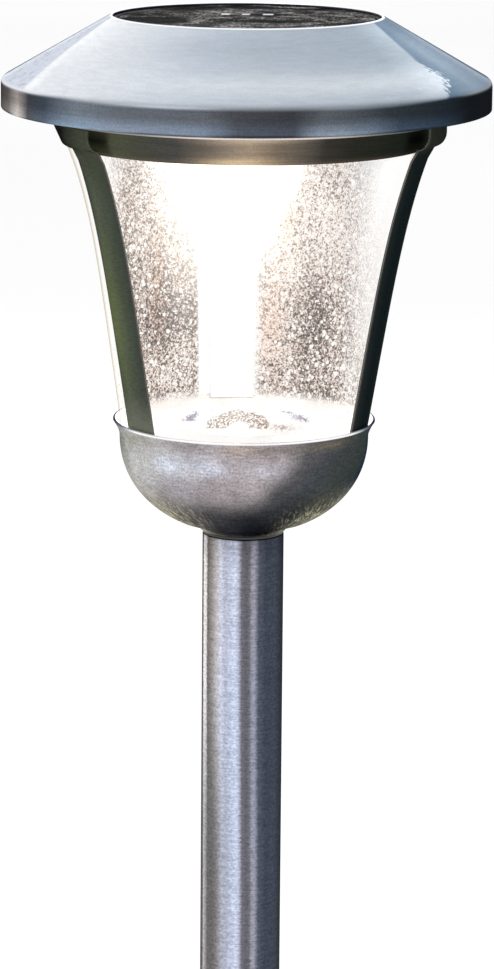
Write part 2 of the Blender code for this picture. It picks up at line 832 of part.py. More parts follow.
def circuit_board():
    bm = bmesh.new()
    add_box(bm, (-18, 18), (-34, 8), (BOARD_BOTTOM, BOARD_BOTTOM + BOARD_T))
    board = link("circuit_board", bm)
    holes = bmesh.new()
    for x in (-14.0, 14.0):
        add_cylinder(holes, 1.4, (BOARD_BOTTOM - 1, BOARD_BOTTOM + BOARD_T + 1), (x, -30.0))
    boolean(board, link("board_holes", holes), "DIFFERENCE")
    return board


def board_screws():
    made = []
    seat = BOARD_BOTTOM + BOARD_T + GAP
    for number, x in enumerate((-14.0, 14.0), 1):
        bm = bmesh.new()
        tip = FLOOR_TOP + 0.7
        profile = [(0, tip), (0.95, tip), (0.95, seat), (2.2, seat), (1.7, seat + 1.3), (0, seat + 1.3)]
        spin_profile(bm, profile, TINY_ROUND)
        bmesh.ops.translate(bm, vec=(x, -30.0, 0), verts=bm.verts)
        made.append(link(f"board_screw_{number}", bm))
    return made


def driver_chip():
    bm = bmesh.new()
    low = BOARD_BOTTOM + BOARD_T + GAP
    add_box(bm, (-3, 3), (-16, -11), (low, low + 2.2))
    return link("driver_chip", bm)


def inductor():
    bm = bmesh.new()
    add_cylinder(bm, 3.0, (BOARD_BOTTOM + BOARD_T + GAP, BOARD_BOTTOM + BOARD_T + 5), (-10, -18), SMALL_ROUND)
    return link("inductor", bm)


def led():
    """Round LED that hangs from the board and points down."""
    top = BOARD_BOTTOM - GAP
    dome = top - 6.0
    profile = [(0, top), (2.9, top), (2.9, top - 1.0), (2.5, top - 1.0), (2.5, dome)]
    for degrees in (25, 50, 72):
        a = math.radians(degrees)
        profile.append((2.5 * math.cos(a), dome - 2.5 * math.sin(a)))
    return turned("led", profile + [(0, dome - 2.5)], SMALL_ROUND)


def led_reflector():
    """Metallised cup round the LED, held in the floor's hole."""
    top, bottom = FLOOR_TOP + 0.8, PLUG_BOTTOM + 0.5
    outer = LED_HOLE_R - GAP
    inner = []
    for share in (0, 0.3, 0.65, 1):
        inner.append((3.3 + (outer - 4.0) * share**0.6, top - (top - bottom) * share))
    return turned("led_reflector", inner + [(outer, bottom), (outer, top)], SMALL_ROUND)


def switch_body():
    bm = bmesh.new()
    add_box(bm, (6.0, 15.0), (SWITCH_Y - 3, SWITCH_Y + 3), (FLOOR_TOP + GAP, BOARD_BOTTOM - GAP))
    return link("switch_body", bm)


def switch_knob():
    """Stem in the floor's slot with a wider thumb pad below."""
    bm = bmesh.new()
    add_box(bm, (7.0, 9.6), (SWITCH_Y - 1.2, SWITCH_Y + 1.2), (FLOOR_BOTTOM - 0.6, FLOOR_TOP))
    knob = link("switch_knob", bm)
    pad = bmesh.new()
    add_box(pad, (6.2, 10.4), (SWITCH_Y - 2.2, SWITCH_Y + 2.2), (FLOOR_BOTTOM - 2.0, FLOOR_BOTTOM - GAP))
    boolean(knob, link("switch_pad", pad), "UNION")
    return knob


def wires():
    """Panel leads drop through the tray's hole to the board; battery leads join bay and board."""
    board_top = BOARD_BOTTOM + BOARD_T + GAP + 0.6
    panel_z = PANEL_BOARD_BOTTOM - GAP - 0.7
    made = {}
    for name, x, end_y in (("panel_wire_red", 1.3, -4.0), ("panel_wire_black", -1.3, -6.5)):
        points = [
            (x, 0, panel_z),
            (x, 0, TRAY_FLOOR - 2),
            (x * 3, end_y + 2, board_top + 5),
            (x * 4, end_y, board_top),
        ]
        made[name] = wire(name, points)
    high = BAY_TOP + 1.4
    for name, side in (("battery_wire_red", 1), ("battery_wire_black", -1)):
        points = [
            (side * 29.1, BATTERY_Y + 1, BATTERY_Z + 5.9),
            (side * 29.1, BATTERY_Y - 3, high),
            (side * 24, 10, high),
            (side * 15, 6, board_top + 3),
            (side * 13, 4, board_top),
        ]
        made[name] = wire(name, points)
    return made


# ---------------------------------------------------------------- assembly


def empty(name, place, parent=None):
    obj = bpy.data.objects.new(name, None)
    bpy.context.scene.collection.objects.link(obj)
    obj.location = Vector(place) * MM
    if parent:
        obj.parent = parent
        obj.matrix_parent_inverse = parent.matrix_world.inverted()
    bpy.context.view_layer.update()
    return obj


def make_bodies():
    """One empty for each rigid body, on its joint's axis."""
    spike = empty("body_spike", (0, 0, SPIKE_LENGTH))
    pole = empty("body_pole", (0, 0, POLE_FOOT), spike)
    spigot = empty("body_spigot", (0, 0, NECK), pole)
    lamp = empty("body_lamp", (0, 0, NECK), spigot)
    seal = empty("body_seal", (0, 0, COLLAR_TOP), lamp)
    cap = empty("body_cap", (0, 0, COLLAR_TOP), seal)
    door = empty("body_door", (0, DOOR_AXIS["y"], DOOR_AXIS["z"]), cap)
    switch = empty("body_switch", (8.3, SWITCH_Y, FLOOR_BOTTOM), cap)
    return spike, pole, spigot, lamp, seal, cap, door, switch


def build():
    for obj in list(bpy.data.objects):
        bpy.data.objects.remove(obj)
    paint = make_materials()
    spike, pole, spigot, lamp, seal, cap, door, switch = make_bodies()

    finish(ground_spike(), paint["black"], spike)
    finish(pole_tube(), paint["steel"], pole)
    finish(pole_spigot(), paint["black"], spigot)
    finish(clamp_plate(), paint["screw"], spigot)
    finish(neck_screw(), paint["screw"], spigot)

    for obj, name in (
        (bowl(), "steel"),
        (base_reflector(), "mirror"),
        (lens_foot_gasket(), "silicone"),
        (lens(), "glass"),
        (lens_top_gasket(), "silicone"),
        (collar_ring(), "steel"),
        (bayonet_ring(), "black"),
    ):
        finish(obj, paint[name], lamp)
    for obj in straps():
        finish(obj, paint["steel"], lamp)

    finish(cap_seal(), paint["rubber"], seal)

    for obj, name in (
        (cap_shell(), "steel"),
        (housing(), "black"),
        (panel_tray(), "black"),
        (panel_board(), "board"),
        (panel_cover(), "panel"),
        (panel_gasket(), "rubber"),
        (battery(), "battery"),
        (battery_plate(), "spring"),
        (battery_spring(), "spring"),
        (door_pin(), "screw"),
        (circuit_board(), "board"),
        (driver_chip(), "black"),
        (inductor(), "dark"),
        (led(), "led"),
        (led_reflector(), "mirror"),
        (switch_body(), "black"),
    ):
        finish(obj, paint[name], cap)
    for obj in solar_cells():
        finish(obj, paint["cell"], cap)
    for obj in housing_screws() + board_screws():
        finish(obj, paint["screw"], cap)
    for name, obj in wires().items():
        finish(obj, paint["red" if name.endswith("red") else "dark"], cap)

    finish(battery_door(), paint["black"], door)
    finish(switch_knob(), paint["white"], switch)


build()
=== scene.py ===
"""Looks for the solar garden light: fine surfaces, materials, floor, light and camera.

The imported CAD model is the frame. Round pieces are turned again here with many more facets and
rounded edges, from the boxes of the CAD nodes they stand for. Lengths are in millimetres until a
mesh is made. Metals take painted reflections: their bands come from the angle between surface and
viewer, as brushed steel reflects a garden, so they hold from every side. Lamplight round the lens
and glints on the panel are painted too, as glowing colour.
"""

import json
import math
import random

import bmesh
import bpy
import numpy as np
from mathutils import Matrix, Vector

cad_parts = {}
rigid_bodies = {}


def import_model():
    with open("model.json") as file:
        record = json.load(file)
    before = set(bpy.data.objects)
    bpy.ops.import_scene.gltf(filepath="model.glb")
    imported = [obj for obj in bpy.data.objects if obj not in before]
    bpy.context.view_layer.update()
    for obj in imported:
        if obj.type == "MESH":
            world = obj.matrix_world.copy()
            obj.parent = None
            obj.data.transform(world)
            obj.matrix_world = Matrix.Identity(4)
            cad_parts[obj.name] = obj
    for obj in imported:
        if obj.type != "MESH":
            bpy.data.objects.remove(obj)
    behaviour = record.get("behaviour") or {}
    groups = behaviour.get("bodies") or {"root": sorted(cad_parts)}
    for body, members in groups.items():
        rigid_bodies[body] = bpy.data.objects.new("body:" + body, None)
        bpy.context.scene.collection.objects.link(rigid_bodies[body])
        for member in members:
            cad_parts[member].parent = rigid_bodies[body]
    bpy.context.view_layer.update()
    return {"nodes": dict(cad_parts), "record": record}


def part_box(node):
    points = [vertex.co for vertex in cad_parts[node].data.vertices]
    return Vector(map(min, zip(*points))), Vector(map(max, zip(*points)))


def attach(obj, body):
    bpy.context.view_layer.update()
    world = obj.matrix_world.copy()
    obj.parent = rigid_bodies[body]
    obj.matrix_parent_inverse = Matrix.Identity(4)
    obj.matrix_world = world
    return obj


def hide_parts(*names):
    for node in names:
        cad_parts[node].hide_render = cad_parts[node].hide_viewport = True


# The scene that Blender opens with is emptied before the frame is loaded.
for leftover in list(bpy.data.objects):
    bpy.data.objects.remove(leftover)

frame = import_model()

MM = 0.001
TINY = 1e-6  # a length that counts as none
SOFT_CORNER = math.radians(12)  # corners that turn less than this stay as they are
LEVEL = (1.0, 1.0, 0.0)  # what is left of a vector without its height
BUMP_DEPTH = 0.0002  # metres
RAMP_REACH = 120.0  # degrees from the viewer at which a round ramp ends
FINE = 224  # facets round a large turned piece
MEDIUM = 96  # facets round a small one
SEEDS = 4600  # bubbles in the lens


# ---- sizes read from the frame


class Span:
    """Radius and lowest and highest level of a CAD node, in millimetres."""

    def __init__(self, node):
        low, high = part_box(node)
        self.low, self.high = low.z / MM, high.z / MM
        self.r = high.x / MM
        self.height = self.high - self.low


POLE = Span("pole_tube")
BOWL = Span("bowl")
DISH = Span("base_reflector")
LENS = Span("lens")
COLLAR = Span("collar_ring")
CAP = Span("cap_shell")
COVER = Span("panel_cover")
UNIT = CAP.r / 75.0  # 1 at the size the light was drawn

PAINTED_DARK_EDGE = (0.035, 0.045, 0.075, 1.0)  # painted dark reflection along a metal piece's outline
SHEET = 0.8 * UNIT  # thickness of the steel sheet
CONE_DROP = 19.5 * UNIT  # height of the cap's cone
OPENING_R = 41.0 * UNIT  # radius of the cap's opening
CREASE = CAP.high - CONE_DROP  # level where the cone meets the skirt


# ---- mesh helpers


def linked(name, data):
    """A new object of the scene, round a mesh, lamp or camera."""
    obj = bpy.data.objects.new(name, data)
    bpy.context.scene.collection.objects.link(obj)
    return obj


def make_object(name, vertices, faces, material_of_face=None, smooth_angle=35.0):
    """One object from points in millimetres."""
    mesh = bpy.data.meshes.new(name)
    points = np.asarray(vertices, float) * MM
    mesh.from_pydata([tuple(p) for p in points], [], faces)
    if material_of_face is not None:
        mesh.polygons.foreach_set("material_index", material_of_face)
    mesh.update()
    bm = bmesh.new()
    bm.from_mesh(mesh)
    bmesh.ops.recalc_face_normals(bm, faces=bm.faces)
    bm.to_mesh(mesh)
    bm.free()
    mesh.shade_smooth()
    mesh.set_sharp_from_angle(angle=math.radians(smooth_angle))
    return linked(name, mesh)


def turned(name, profile, segments=FINE, materials=None):
    """Turns a (radius, height) outline about the vertical. Ends on the axis stay points."""
    vertices, rings = [], []
    angles = [math.tau * k / segments for k in range(segments)]
    for radius, height in profile:
        start = len(vertices)
        if radius < TINY:
            vertices.append((0.0, 0.0, height))
            rings.append([start] * segments)
        else:
            for a in angles:
                vertices.append((*on_circle((0, 0), radius, a), height))
            rings.append(list(range(start, start + segments)))
    ends_on_axis = profile[0][0] < TINY and profile[-1][0] < TINY
    pairs = list(zip(range(len(rings)), range(1, len(rings))))
    if not ends_on_axis:
        pairs.append((len(rings) - 1, 0))
    faces, slots = [], []
    for i, j in pairs:
        for k in range(segments):
            n = (k + 1) % segments
            corners = [rings[i][k], rings[i][n], rings[j][n], rings[j][k]]
            face = list(dict.fromkeys(corners))
            if len(face) > 2:
                faces.append(face)
                slots.append(materials[i] if materials else 0)
    return make_object(name, vertices, faces, slots)


def on_circle(centre, radius, angle):
    return centre[0] + radius * math.cos(angle), centre[1] + radius * math.sin(angle)


def part_way(a, b, share):
    return a[0] + (b[0] - a[0]) * share, a[1] + (b[1] - a[1]) * share


def curve(first, pull, last, t):
    """A point of the curve from first to last that bends towards pull."""
    return tuple((1 - t) ** 2 * first + 2 * t * (1 - t) * pull + t**2 * last)


def rounded(points, radius, closed=True, steps=4):
    """The outline with each sharp corner replaced by a small arc."""
    count = len(points)
    result = []
    for i, point in enumerate(points):
        here = Vector(point)
        at_end = not closed and i in (0, count - 1)
        before = Vector(points[i - 1]) - here
        after = Vector(points[(i + 1) % count]) - here
        if at_end or before.length < TINY or after.length < TINY:
            result.append(tuple(point))
            continue
        angle = before.angle(after)
        if math.pi - angle < SOFT_CORNER:
            result.append(tuple(point))
            continue
        cut = min(radius / math.tan(angle / 2), before.length * 0.45, after.length * 0.45)
        first = here + before.normalized() * cut
        last = here + after.normalized() * cut
        result += [curve(first, here, last, k / steps) for k in range(steps + 1)]
    return result


def offset(path, distance):
    """The path moved to its right by distance, with mitred corners."""
    points = [Vector(p) for p in path]
    moved = []
    for i, point in enumerate(points):
        before = (point - points[i - 1]).normalized() if i else None
        after = (points[i + 1] - point).normalized() if i + 1 < len(points) else None
        before, after = before or after, after or before
        n1 = Vector((before.y, -before.x))
        n2 = Vector((after.y, -after.x))
        moved.append(tuple(point + (n1 + n2) * distance / (1 + n1.dot(n2))))
    return moved


def ring_outline(r, z, edge=0.25):
    return rounded([(r[0], z[0]), (r[1], z[0]), (r[1], z[1]), (r[0], z[1])], edge)


# ---- material helpers


def tone(red, green, blue):
    """A display colour, 0 to 255 a channel, as the linear colour that nodes take."""
    linear = []
    for channel in (red, green, blue):
        c = channel / 255
        linear.append(c / 12.92 if c <= 0.04045 else ((c + 0.055) / 1.055) ** 2.4)
    return (*linear, 1.0)


class Paint:
    """A material under construction, with short calls for the nodes used here."""

    def __init__(self, name):
        self.material = bpy.data.materials.new(name)
        self.material.use_nodes = True
        self.tree = self.material.node_tree
        self.tree.nodes.clear()
        self.output = self.tree.nodes.new("ShaderNodeOutputMaterial")

    def put(self, socket, value):
        if isinstance(value, bpy.types.NodeSocket):
            self.tree.links.new(value, socket)
        else:
            socket.default_value = value

    def node(self, kind, inputs=None, **settings):
        made = self.tree.nodes.new("ShaderNode" + kind)
        for key, value in settings.items():
            setattr(made, key, value)
        for key, value in (inputs or {}).items():
            self.put(made.inputs[key], value)
        return made

    def math(self, operation, a, b=0.0, c=0.0, clamp=False):
        made = self.node("Math", {0: a, 1: b, 2: c}, operation=operation, use_clamp=clamp)
        return made.outputs[0]

    def times(self, a, b, clamp=False):
        return self.math("MULTIPLY", a, b, clamp=clamp)

    def plus(self, a, b):
        return self.math("ADD", a, b)

    def minus(self, a, b):
        return self.math("SUBTRACT", a, b)

    def share(self, a, b):
        return self.math("DIVIDE", a, b)

    def line(self, a, slope, start):
        """a times slope, plus start."""
        return self.math("MULTIPLY_ADD", a, slope, start)

    def vector(self, operation, a, b=(0.0, 0.0, 0.0)):
        made = self.node("VectorMath", {0: a, 1: b}, operation=operation)
        return made.outputs["Value" if operation == "DOT_PRODUCT" else "Vector"]

    def mix(self, factor, a, b, blend="MIX"):
        made = self.node("Mix", data_type="RGBA", blend_type=blend, clamp_factor=True)
        for number, value in ((0, factor), (6, a), (7, b)):
            self.put(made.inputs[number], value)
        return made.outputs[2]

    def ramp(self, value, stops):
        """A ramp of (position, linear colour or grey), from the lowest position to the highest."""
        made = self.node("ValToRGB", {"Fac": value})
        elements = made.color_ramp.elements
        while len(elements) < len(stops):
            elements.new(0.5)
        for element, (position, colour) in zip(elements, stops):
            element.position = position
            element.color = colour if isinstance(colour, tuple) else (colour, colour, colour, 1.0)
        return made.outputs["Color"]

    def tones(self, value, stops):
        """A ramp of (position, red, green, blue), in display colours."""
        return self.ramp(value, [(position, tone(*colour)) for position, *colour in stops])

    def turn_tones(self, turn, stops):
        """A ramp of (degrees from the viewer, red, green, blue) round an upright surface."""
        span = 2 * RAMP_REACH
        spot = self.math("DIVIDE", self.plus(turn, RAMP_REACH), span, clamp=True)
        return self.tones(spot, [((angle + RAMP_REACH) / span, *colour) for angle, *colour in stops])

    def band_tones(self, turn, stops):
        """The same, with shares of the half-width of a cylinder seen from the side."""
        return self.turn_tones(turn, [
            (math.degrees(math.asin(share)), *colour) for share, *colour in stops])

    def between(self, value, low, high, to_low=0.0, to_high=1.0):
        made = self.node("MapRange", {0: value, 1: low, 2: high, 3: to_low, 4: to_high})
        made.interpolation_type = "SMOOTHSTEP"
        return made.outputs[0]

    def place(self):
        return self.node("TexCoord").outputs["Object"]

    def noise(self, density, detail=3, distortion=0, stretch=(1, 1, 1), where=None):
        """Noise from 0 to 1 with density features a metre: one number, or one for each axis."""
        if isinstance(density, tuple):
            density, stretch = 1, density
        spot = self.place() if where is None else where
        moved = self.vector("MULTIPLY", spot, stretch)
        inputs = {"Vector": moved, "Scale": density, "Detail": detail, "Distortion": distortion}
        return self.node("TexNoise", inputs).outputs["Fac"]

    def spot(self, axis):
        """Where the point is along an axis of its object, in millimetres."""
        split = self.node("SeparateXYZ", {0: self.place()})
        return self.share(split.outputs[axis], MM)

    def height(self):
        return self.spot("Z")

    def level(self, low, height):
        """Height of the point as a share of a height above low."""
        return self.share(self.minus(self.height(), low), height)

    def facing_turn(self):
        """Angle of the surface about the vertical, from the viewer's side: 0 faces the viewer
        and positive is to the viewer's right, in degrees."""
        geometry = self.node("NewGeometry")
        flat = self.vector("MULTIPLY", geometry.outputs["Normal"], LEVEL)
        level = self.vector("NORMALIZE", flat)
        seen = self.carried(level, "WORLD", "CAMERA")
        side = self.node("SeparateXYZ", {0: seen}).outputs["X"]
        front = self.vector("DOT_PRODUCT", level, geometry.outputs["Incoming"])
        angle = self.math("ARCTAN2", side, front)
        return self.math("DEGREES", angle)

    def across(self):
        """Distance of the point to the viewer's right of the axis, in millimetres."""
        seen = self.carried(self.place(), "OBJECT", "CAMERA")
        side = self.node("SeparateXYZ", {0: seen}).outputs["X"]
        return self.share(side, MM)

    def carried(self, vector, source, target):
        """A vector of one frame of reference, seen in another."""
        return self.node("VectorTransform", {0: vector}, vector_type="VECTOR",
                         convert_from=source, convert_to=target).outputs[0]

    def from_axis(self):
        """Level direction from the object's axis to the point."""
        level = self.vector("MULTIPLY", self.place(), LEVEL)
        return self.vector("NORMALIZE", self.carried(level, "OBJECT", "WORLD"))

    def far_side(self):
        """1 on the half of a turned piece that is behind its axis, as the viewer sees it."""
        incoming = self.node("NewGeometry").outputs["Incoming"]
        nearness = self.vector("DOT_PRODUCT", self.from_axis(), incoming)
        return self.math("LESS_THAN", nearness, 0.0)

    def outward(self, low, high):
        """Rises from 0 to 1 as the surface turns from facing the axis to facing away from it."""
        normal = self.node("NewGeometry").outputs["Normal"]
        return self.between(self.vector("DOT_PRODUCT", normal, self.from_axis()), low, high)

    def facing(self):
        """0 where the surface faces the viewer, 1 where it turns away."""
        return self.node("LayerWeight", {"Blend": 0.5}).outputs["Facing"]

    def grey(self, value):
        return self.node("CombineColor", {0: value, 1: value, 2: value}).outputs[0]

    def shaded(self, colour, pattern, spread):
        """The colour, darkened and lightened by up to spread with the pattern."""
        shade = self.ramp(pattern, [(0.3, 1 - spread), (0.5, 1), (0.7, 1 + spread)])
        return self.tinted(colour, shade)

    def dimmed(self, colour, value):
        return self.tinted(colour, self.grey(value))

    def tinted(self, colour, tint):
        return self.mix(1.0, colour, tint, "MULTIPLY")

    def blob(self, turn, level, centre, size, strength=1.0):
        """A soft oval patch on a turned surface, at (turn, level), with half-widths size."""
        x = self.share(self.minus(turn, centre[0]), size[0])
        y = self.share(self.minus(level, centre[1]), size[1])
        square = self.plus(self.times(x, x), self.times(y, y))
        fall = self.math("EXPONENT", self.times(square, -1.0))
        return self.times(fall, strength, clamp=True)

    def hump(self, value, middle, width, strength=1.0):
        """A soft rise of strength where the value is near middle."""
        return self.blob(value, 0.0, (middle, 0.0), (width, 1.0), strength)

    def patches(self, colour, turn, level, *patches):
        """The colour with soft ovals on it: centre, half-widths, strength and display colour."""
        for centre, size, strength, shade in patches:
            colour = self.mix(self.blob(turn, level, centre, size, strength), colour, tone(*shade))
        return colour

    def over(self, colour, mask, shade, strength=1.0):
        """The colour with a display colour laid over it where the mask is 1."""
        factor = mask if strength == 1.0 else self.times(mask, strength)
        return self.mix(factor, colour, tone(*shade))

    def bump(self, height, strength):
        inputs = {"Strength": strength, "Distance": BUMP_DEPTH, "Height": height}
        return self.node("Bump", inputs).outputs["Normal"]

    def principled(self, **inputs):
        shader = self.node("BsdfPrincipled")
        for key, value in inputs.items():
            self.put(shader.inputs[key.replace("_", " ")], value)
        return self.surface(shader.outputs[0])

    def shader(self, kind, **inputs):
        return self.node(kind, inputs).outputs[0]

    def blend(self, factor, a, b):
        return self.node("MixShader", {0: factor, 1: a, 2: b}).outputs[0]

    def surface(self, socket):
        self.tree.links.new(socket, self.output.inputs["Surface"])
        return self.material


def metal(p, colour, roughness, normal):
    """Brushed metal, with a painted dark reflection line where it turns away from the viewer."""
    gloss = p.shader("BsdfAnisotropic", Color=colour, Roughness=roughness, Normal=normal)
    dark = p.shader("BsdfDiffuse", Color=PAINTED_DARK_EDGE)
    edge = p.between(p.facing(), 0.945, 0.985, 0.0, 0.9)
    return p.surface(p.blend(edge, gloss, dark))


# ---- metals


def pole_steel():
    """Tube brushed round its axis: upright bands of painted reflection broken by short level
    scratches.
    """
    p = Paint("pole_steel")
    wobble = p.noise(90, 4, stretch=(1, 1, 14))
    turn = p.line(p.minus(wobble, 0.5), 5, p.facing_turn())
    drop = p.between(p.height(), POLE.high - 20, POLE.high - 130, 0, 4)
    turn = p.minus(turn, drop)
    # painted reflections: upright light and dark bands by the angle from the viewer
    colour = p.band_tones(turn, [
        (-1, 50, 48, 46), (-0.97, 120, 114, 108), (-0.955, 240, 240, 240), (-0.90, 225, 222, 220),
        (-0.87, 110, 104, 100), (-0.78, 142, 137, 133), (-0.66, 186, 182, 184), (-0.55, 206, 210, 224),
        (-0.44, 182, 186, 204), (-0.32, 188, 196, 214), (-0.19, 200, 209, 230), (-0.12, 188, 192, 208),
        (-0.03, 112, 110, 118), (0.09, 98, 97, 103), (0.17, 108, 107, 115), (0.23, 146, 146, 158),
        (0.30, 150, 150, 163), (0.40, 80, 86, 97), (0.58, 62, 68, 80), (0.80, 66, 72, 82),
        (0.93, 52, 57, 64), (1, 34, 38, 44),
    ])
    # painted reflection: a dull grey patch low on the left side
    low = p.between(p.height(), POLE.high - 38, POLE.high - 105)
    low = p.times(low, p.hump(turn, -54, 23))
    colour = p.over(colour, low, (104, 102, 101))
    scratch = p.noise((140, 140, 2800), 4)
    fleck = p.noise((1100, 1100, 1500), 2)
    drift = p.noise(7, 2)
    colour = p.shaded(colour, scratch, 0.17)
    colour = p.shaded(colour, fleck, 0.26)
    tint = p.ramp(drift, [(0.35, (1.04, 0.99, 0.97, 1)), (0.65, (0.96, 1, 1.06, 1))])
    colour = p.tinted(colour, tint)
    # painted shade: darker towards the top, under the bowl's neck
    colour = p.dimmed(colour, p.between(p.height(), POLE.high - 10, POLE.high, 1, 0.72))
    rough = p.line(scratch, 0.2, 0.22)
    return metal(p, colour, rough, p.bump(scratch, 0.25))


def cone_colour(p, turn, level, mottle):
    """Pale brushed cone in painted reflections, between a light band on the left and a blue-grey flank
    on the right.
    """
    uneven = p.times(p.minus(mottle, 0.5), 7)
    swayed = p.plus(turn, p.times(uneven, 1.5))
    # painted reflection: shades by the angle from the viewer
    colour = p.turn_tones(swayed, [
        (-74, 243, 245, 248), (-56, 232, 235, 240), (-42, 220, 224, 230), (-28, 206, 212, 221),
        (-12, 190, 199, 210), (4, 181, 190, 200), (18, 175, 185, 196), (32, 168, 179, 190),
        (46, 160, 172, 184), (66, 176, 187, 198),
    ])
    # painted reflections: a pale mottled patch and a blue-grey one
    colour = p.patches(colour, level, mottle, ((0.26, 0.5), (0.16, 9), 0.55, (224, 229, 235)))
    colour = p.patches(colour, turn, level, ((6, 0.74), (34, 0.16), 0.35, (156, 168, 182)))
    # painted highlight: a white line near the cone's left rim
    edge = p.plus(turn, p.line(level, 15, uneven))
    colour = p.over(colour, p.hump(edge, -63.5, 2.6, 0.8), (248, 250, 252))
    colour = p.mix(p.between(edge, -67, -65.5, 1, 0), colour, cone_band(p, turn))
    # right flank in painted reflection, with painted highlight strokes feathered along its edge
    feather = p.noise((420, 900, 900), 5)
    lower = p.hump(level, 0.22, 0.16)
    ragged = p.times(p.minus(feather, 0.46), 22)
    edge = p.minus(turn, p.times(level, 12.5))
    edge = p.minus(edge, p.times(lower, p.plus(ragged, 5)))
    edge = p.plus(edge, uneven)
    colour = p.over(colour, p.times(lower, p.between(edge, 36, 52)), (208, 217, 227))
    return p.mix(p.between(edge, 52.5, 55), colour, cone_flank(p, turn, level))


def cone_band(p, turn):
    """Left rim of the cone: a pale painted reflection band, with a painted dark reflection line along
    its outline.
    """
    band = p.tones(p.between(turn, -112, -66), [
        (0.20, 52, 62, 82), (0.30, 112, 122, 142), (0.38, 232, 236, 243), (0.70, 212, 218, 229),
        (1, 214, 219, 230),
    ])
    # painted reflection: bluer blotches in the pale band
    reflection_blotch = p.noise((420, 420, 420))
    return p.over(band, p.between(reflection_blotch, 0.54, 0.64, 0, 0.45), (170, 180, 198))


def cone_flank(p, turn, level):
    """Right side of the cone in painted reflection, darker towards its top."""
    flank = p.tones(p.between(turn, 52, 104), [
        (0, 98, 117, 139), (0.10, 118, 137, 156), (0.30, 142, 159, 174), (0.60, 134, 150, 165),
        (0.82, 158, 170, 184), (0.90, 92, 106, 126), (1, 44, 56, 78),
    ])
    flank = p.over(flank, p.between(level, 0.62, 0.95, 0, 0.7), (106, 124, 144))
    return p.patches(flank, turn, level, ((74, 0.02), (14, 0.22), 0.35, (96, 110, 128)))


def skirt_colour(p, turn, level):
    """Upright edge of the cap in painted reflection: dark above and bluer below."""
    upper = p.band_tones(turn, [
        (-1, 44, 42, 44), (-0.97, 92, 88, 86), (-0.93, 160, 152, 148), (-0.89, 64, 66, 70),
        (-0.82, 60, 70, 80), (-0.68, 112, 120, 131), (-0.50, 98, 104, 112), (-0.18, 92, 96, 103),
        (-0.07, 72, 74, 79), (0.18, 57, 59, 64), (0.31, 84, 88, 95), (0.42, 72, 77, 84),
        (0.56, 46, 52, 58), (0.80, 33, 40, 47), (0.90, 22, 26, 30), (1, 24, 28, 32),
    ])
    lower = p.band_tones(turn, [
        (-1, 60, 58, 58), (-0.97, 130, 126, 124), (-0.93, 218, 210, 204), (-0.89, 88, 90, 98),
        (-0.82, 88, 100, 116), (-0.68, 140, 160, 181), (-0.50, 134, 146, 164), (-0.18, 120, 134, 153),
        (-0.05, 80, 86, 98), (0.18, 74, 80, 92), (0.29, 130, 142, 158), (0.37, 130, 143, 158),
        (0.50, 102, 117, 133), (0.60, 60, 73, 90), (0.80, 46, 59, 73), (0.90, 24, 28, 33),
        (1, 22, 26, 30),
    ])
    colour = p.mix(p.between(level, 0.05, 0.62), lower, upper)
    sand = p.noise(1900, 2)
    lines = p.noise((50, 50, 2200))
    colour = p.shaded(p.shaded(colour, sand, 0.16), lines, 0.10)
    # painted shade: darker along the lowest edge of the hem
    return p.dimmed(colour, p.between(level, 0, 0.07, 0.5, 1))


def cap_steel():
    """Cone and skirt, which run into each other over the rounded edge."""
    p = Paint("cap_steel")
    turn = p.facing_turn()
    mottle = p.noise(24, 5, distortion=0.6)
    cone_level = p.level(CREASE, CONE_DROP)
    cone = cone_colour(p, turn, cone_level, mottle)
    grain = p.noise(1500)
    arcs = p.noise((160, 160, 1400), distortion=0.4)
    cone = p.shaded(p.shaded(cone, grain, 0.05), arcs, 0.05)
    wobble = p.noise(60, stretch=(1, 1, 3))
    sway = p.minus(wobble, 0.5)
    skirt_level = p.level(CAP.low, CREASE - CAP.low)
    skirt = skirt_colour(p, p.line(sway, 5, turn), p.line(sway, 0.2, skirt_level))
    blur = p.between(p.math("ABSOLUTE", turn), 30, 60, 1, 0.35)
    over = p.level(CREASE, blur)
    over_edge = p.between(over, -1.4 * UNIT, 1.2 * UNIT)
    colour = p.mix(over_edge, skirt, cone)
    # painted highlight: a pale line along the crease, strongest towards the left
    line = p.hump(p.height(), CREASE - 0.1 * UNIT, 0.45 * UNIT, 0.9)
    ends = p.plus(p.between(turn, -46, -64), p.between(turn, 56, 70, 0, 0.25))
    line = p.times(line, ends)
    colour = p.over(colour, line, (236, 240, 246))
    # painted highlight: a white ring along the rolled lip of the opening
    rim = p.between(p.height(), CAP.high - 0.45 * UNIT, CAP.high - 0.25 * UNIT)
    colour = p.over(colour, rim, (250, 252, 254))
    return metal(p, colour, p.line(grain, 0.14, 0.28), p.bump(grain, 0.08))


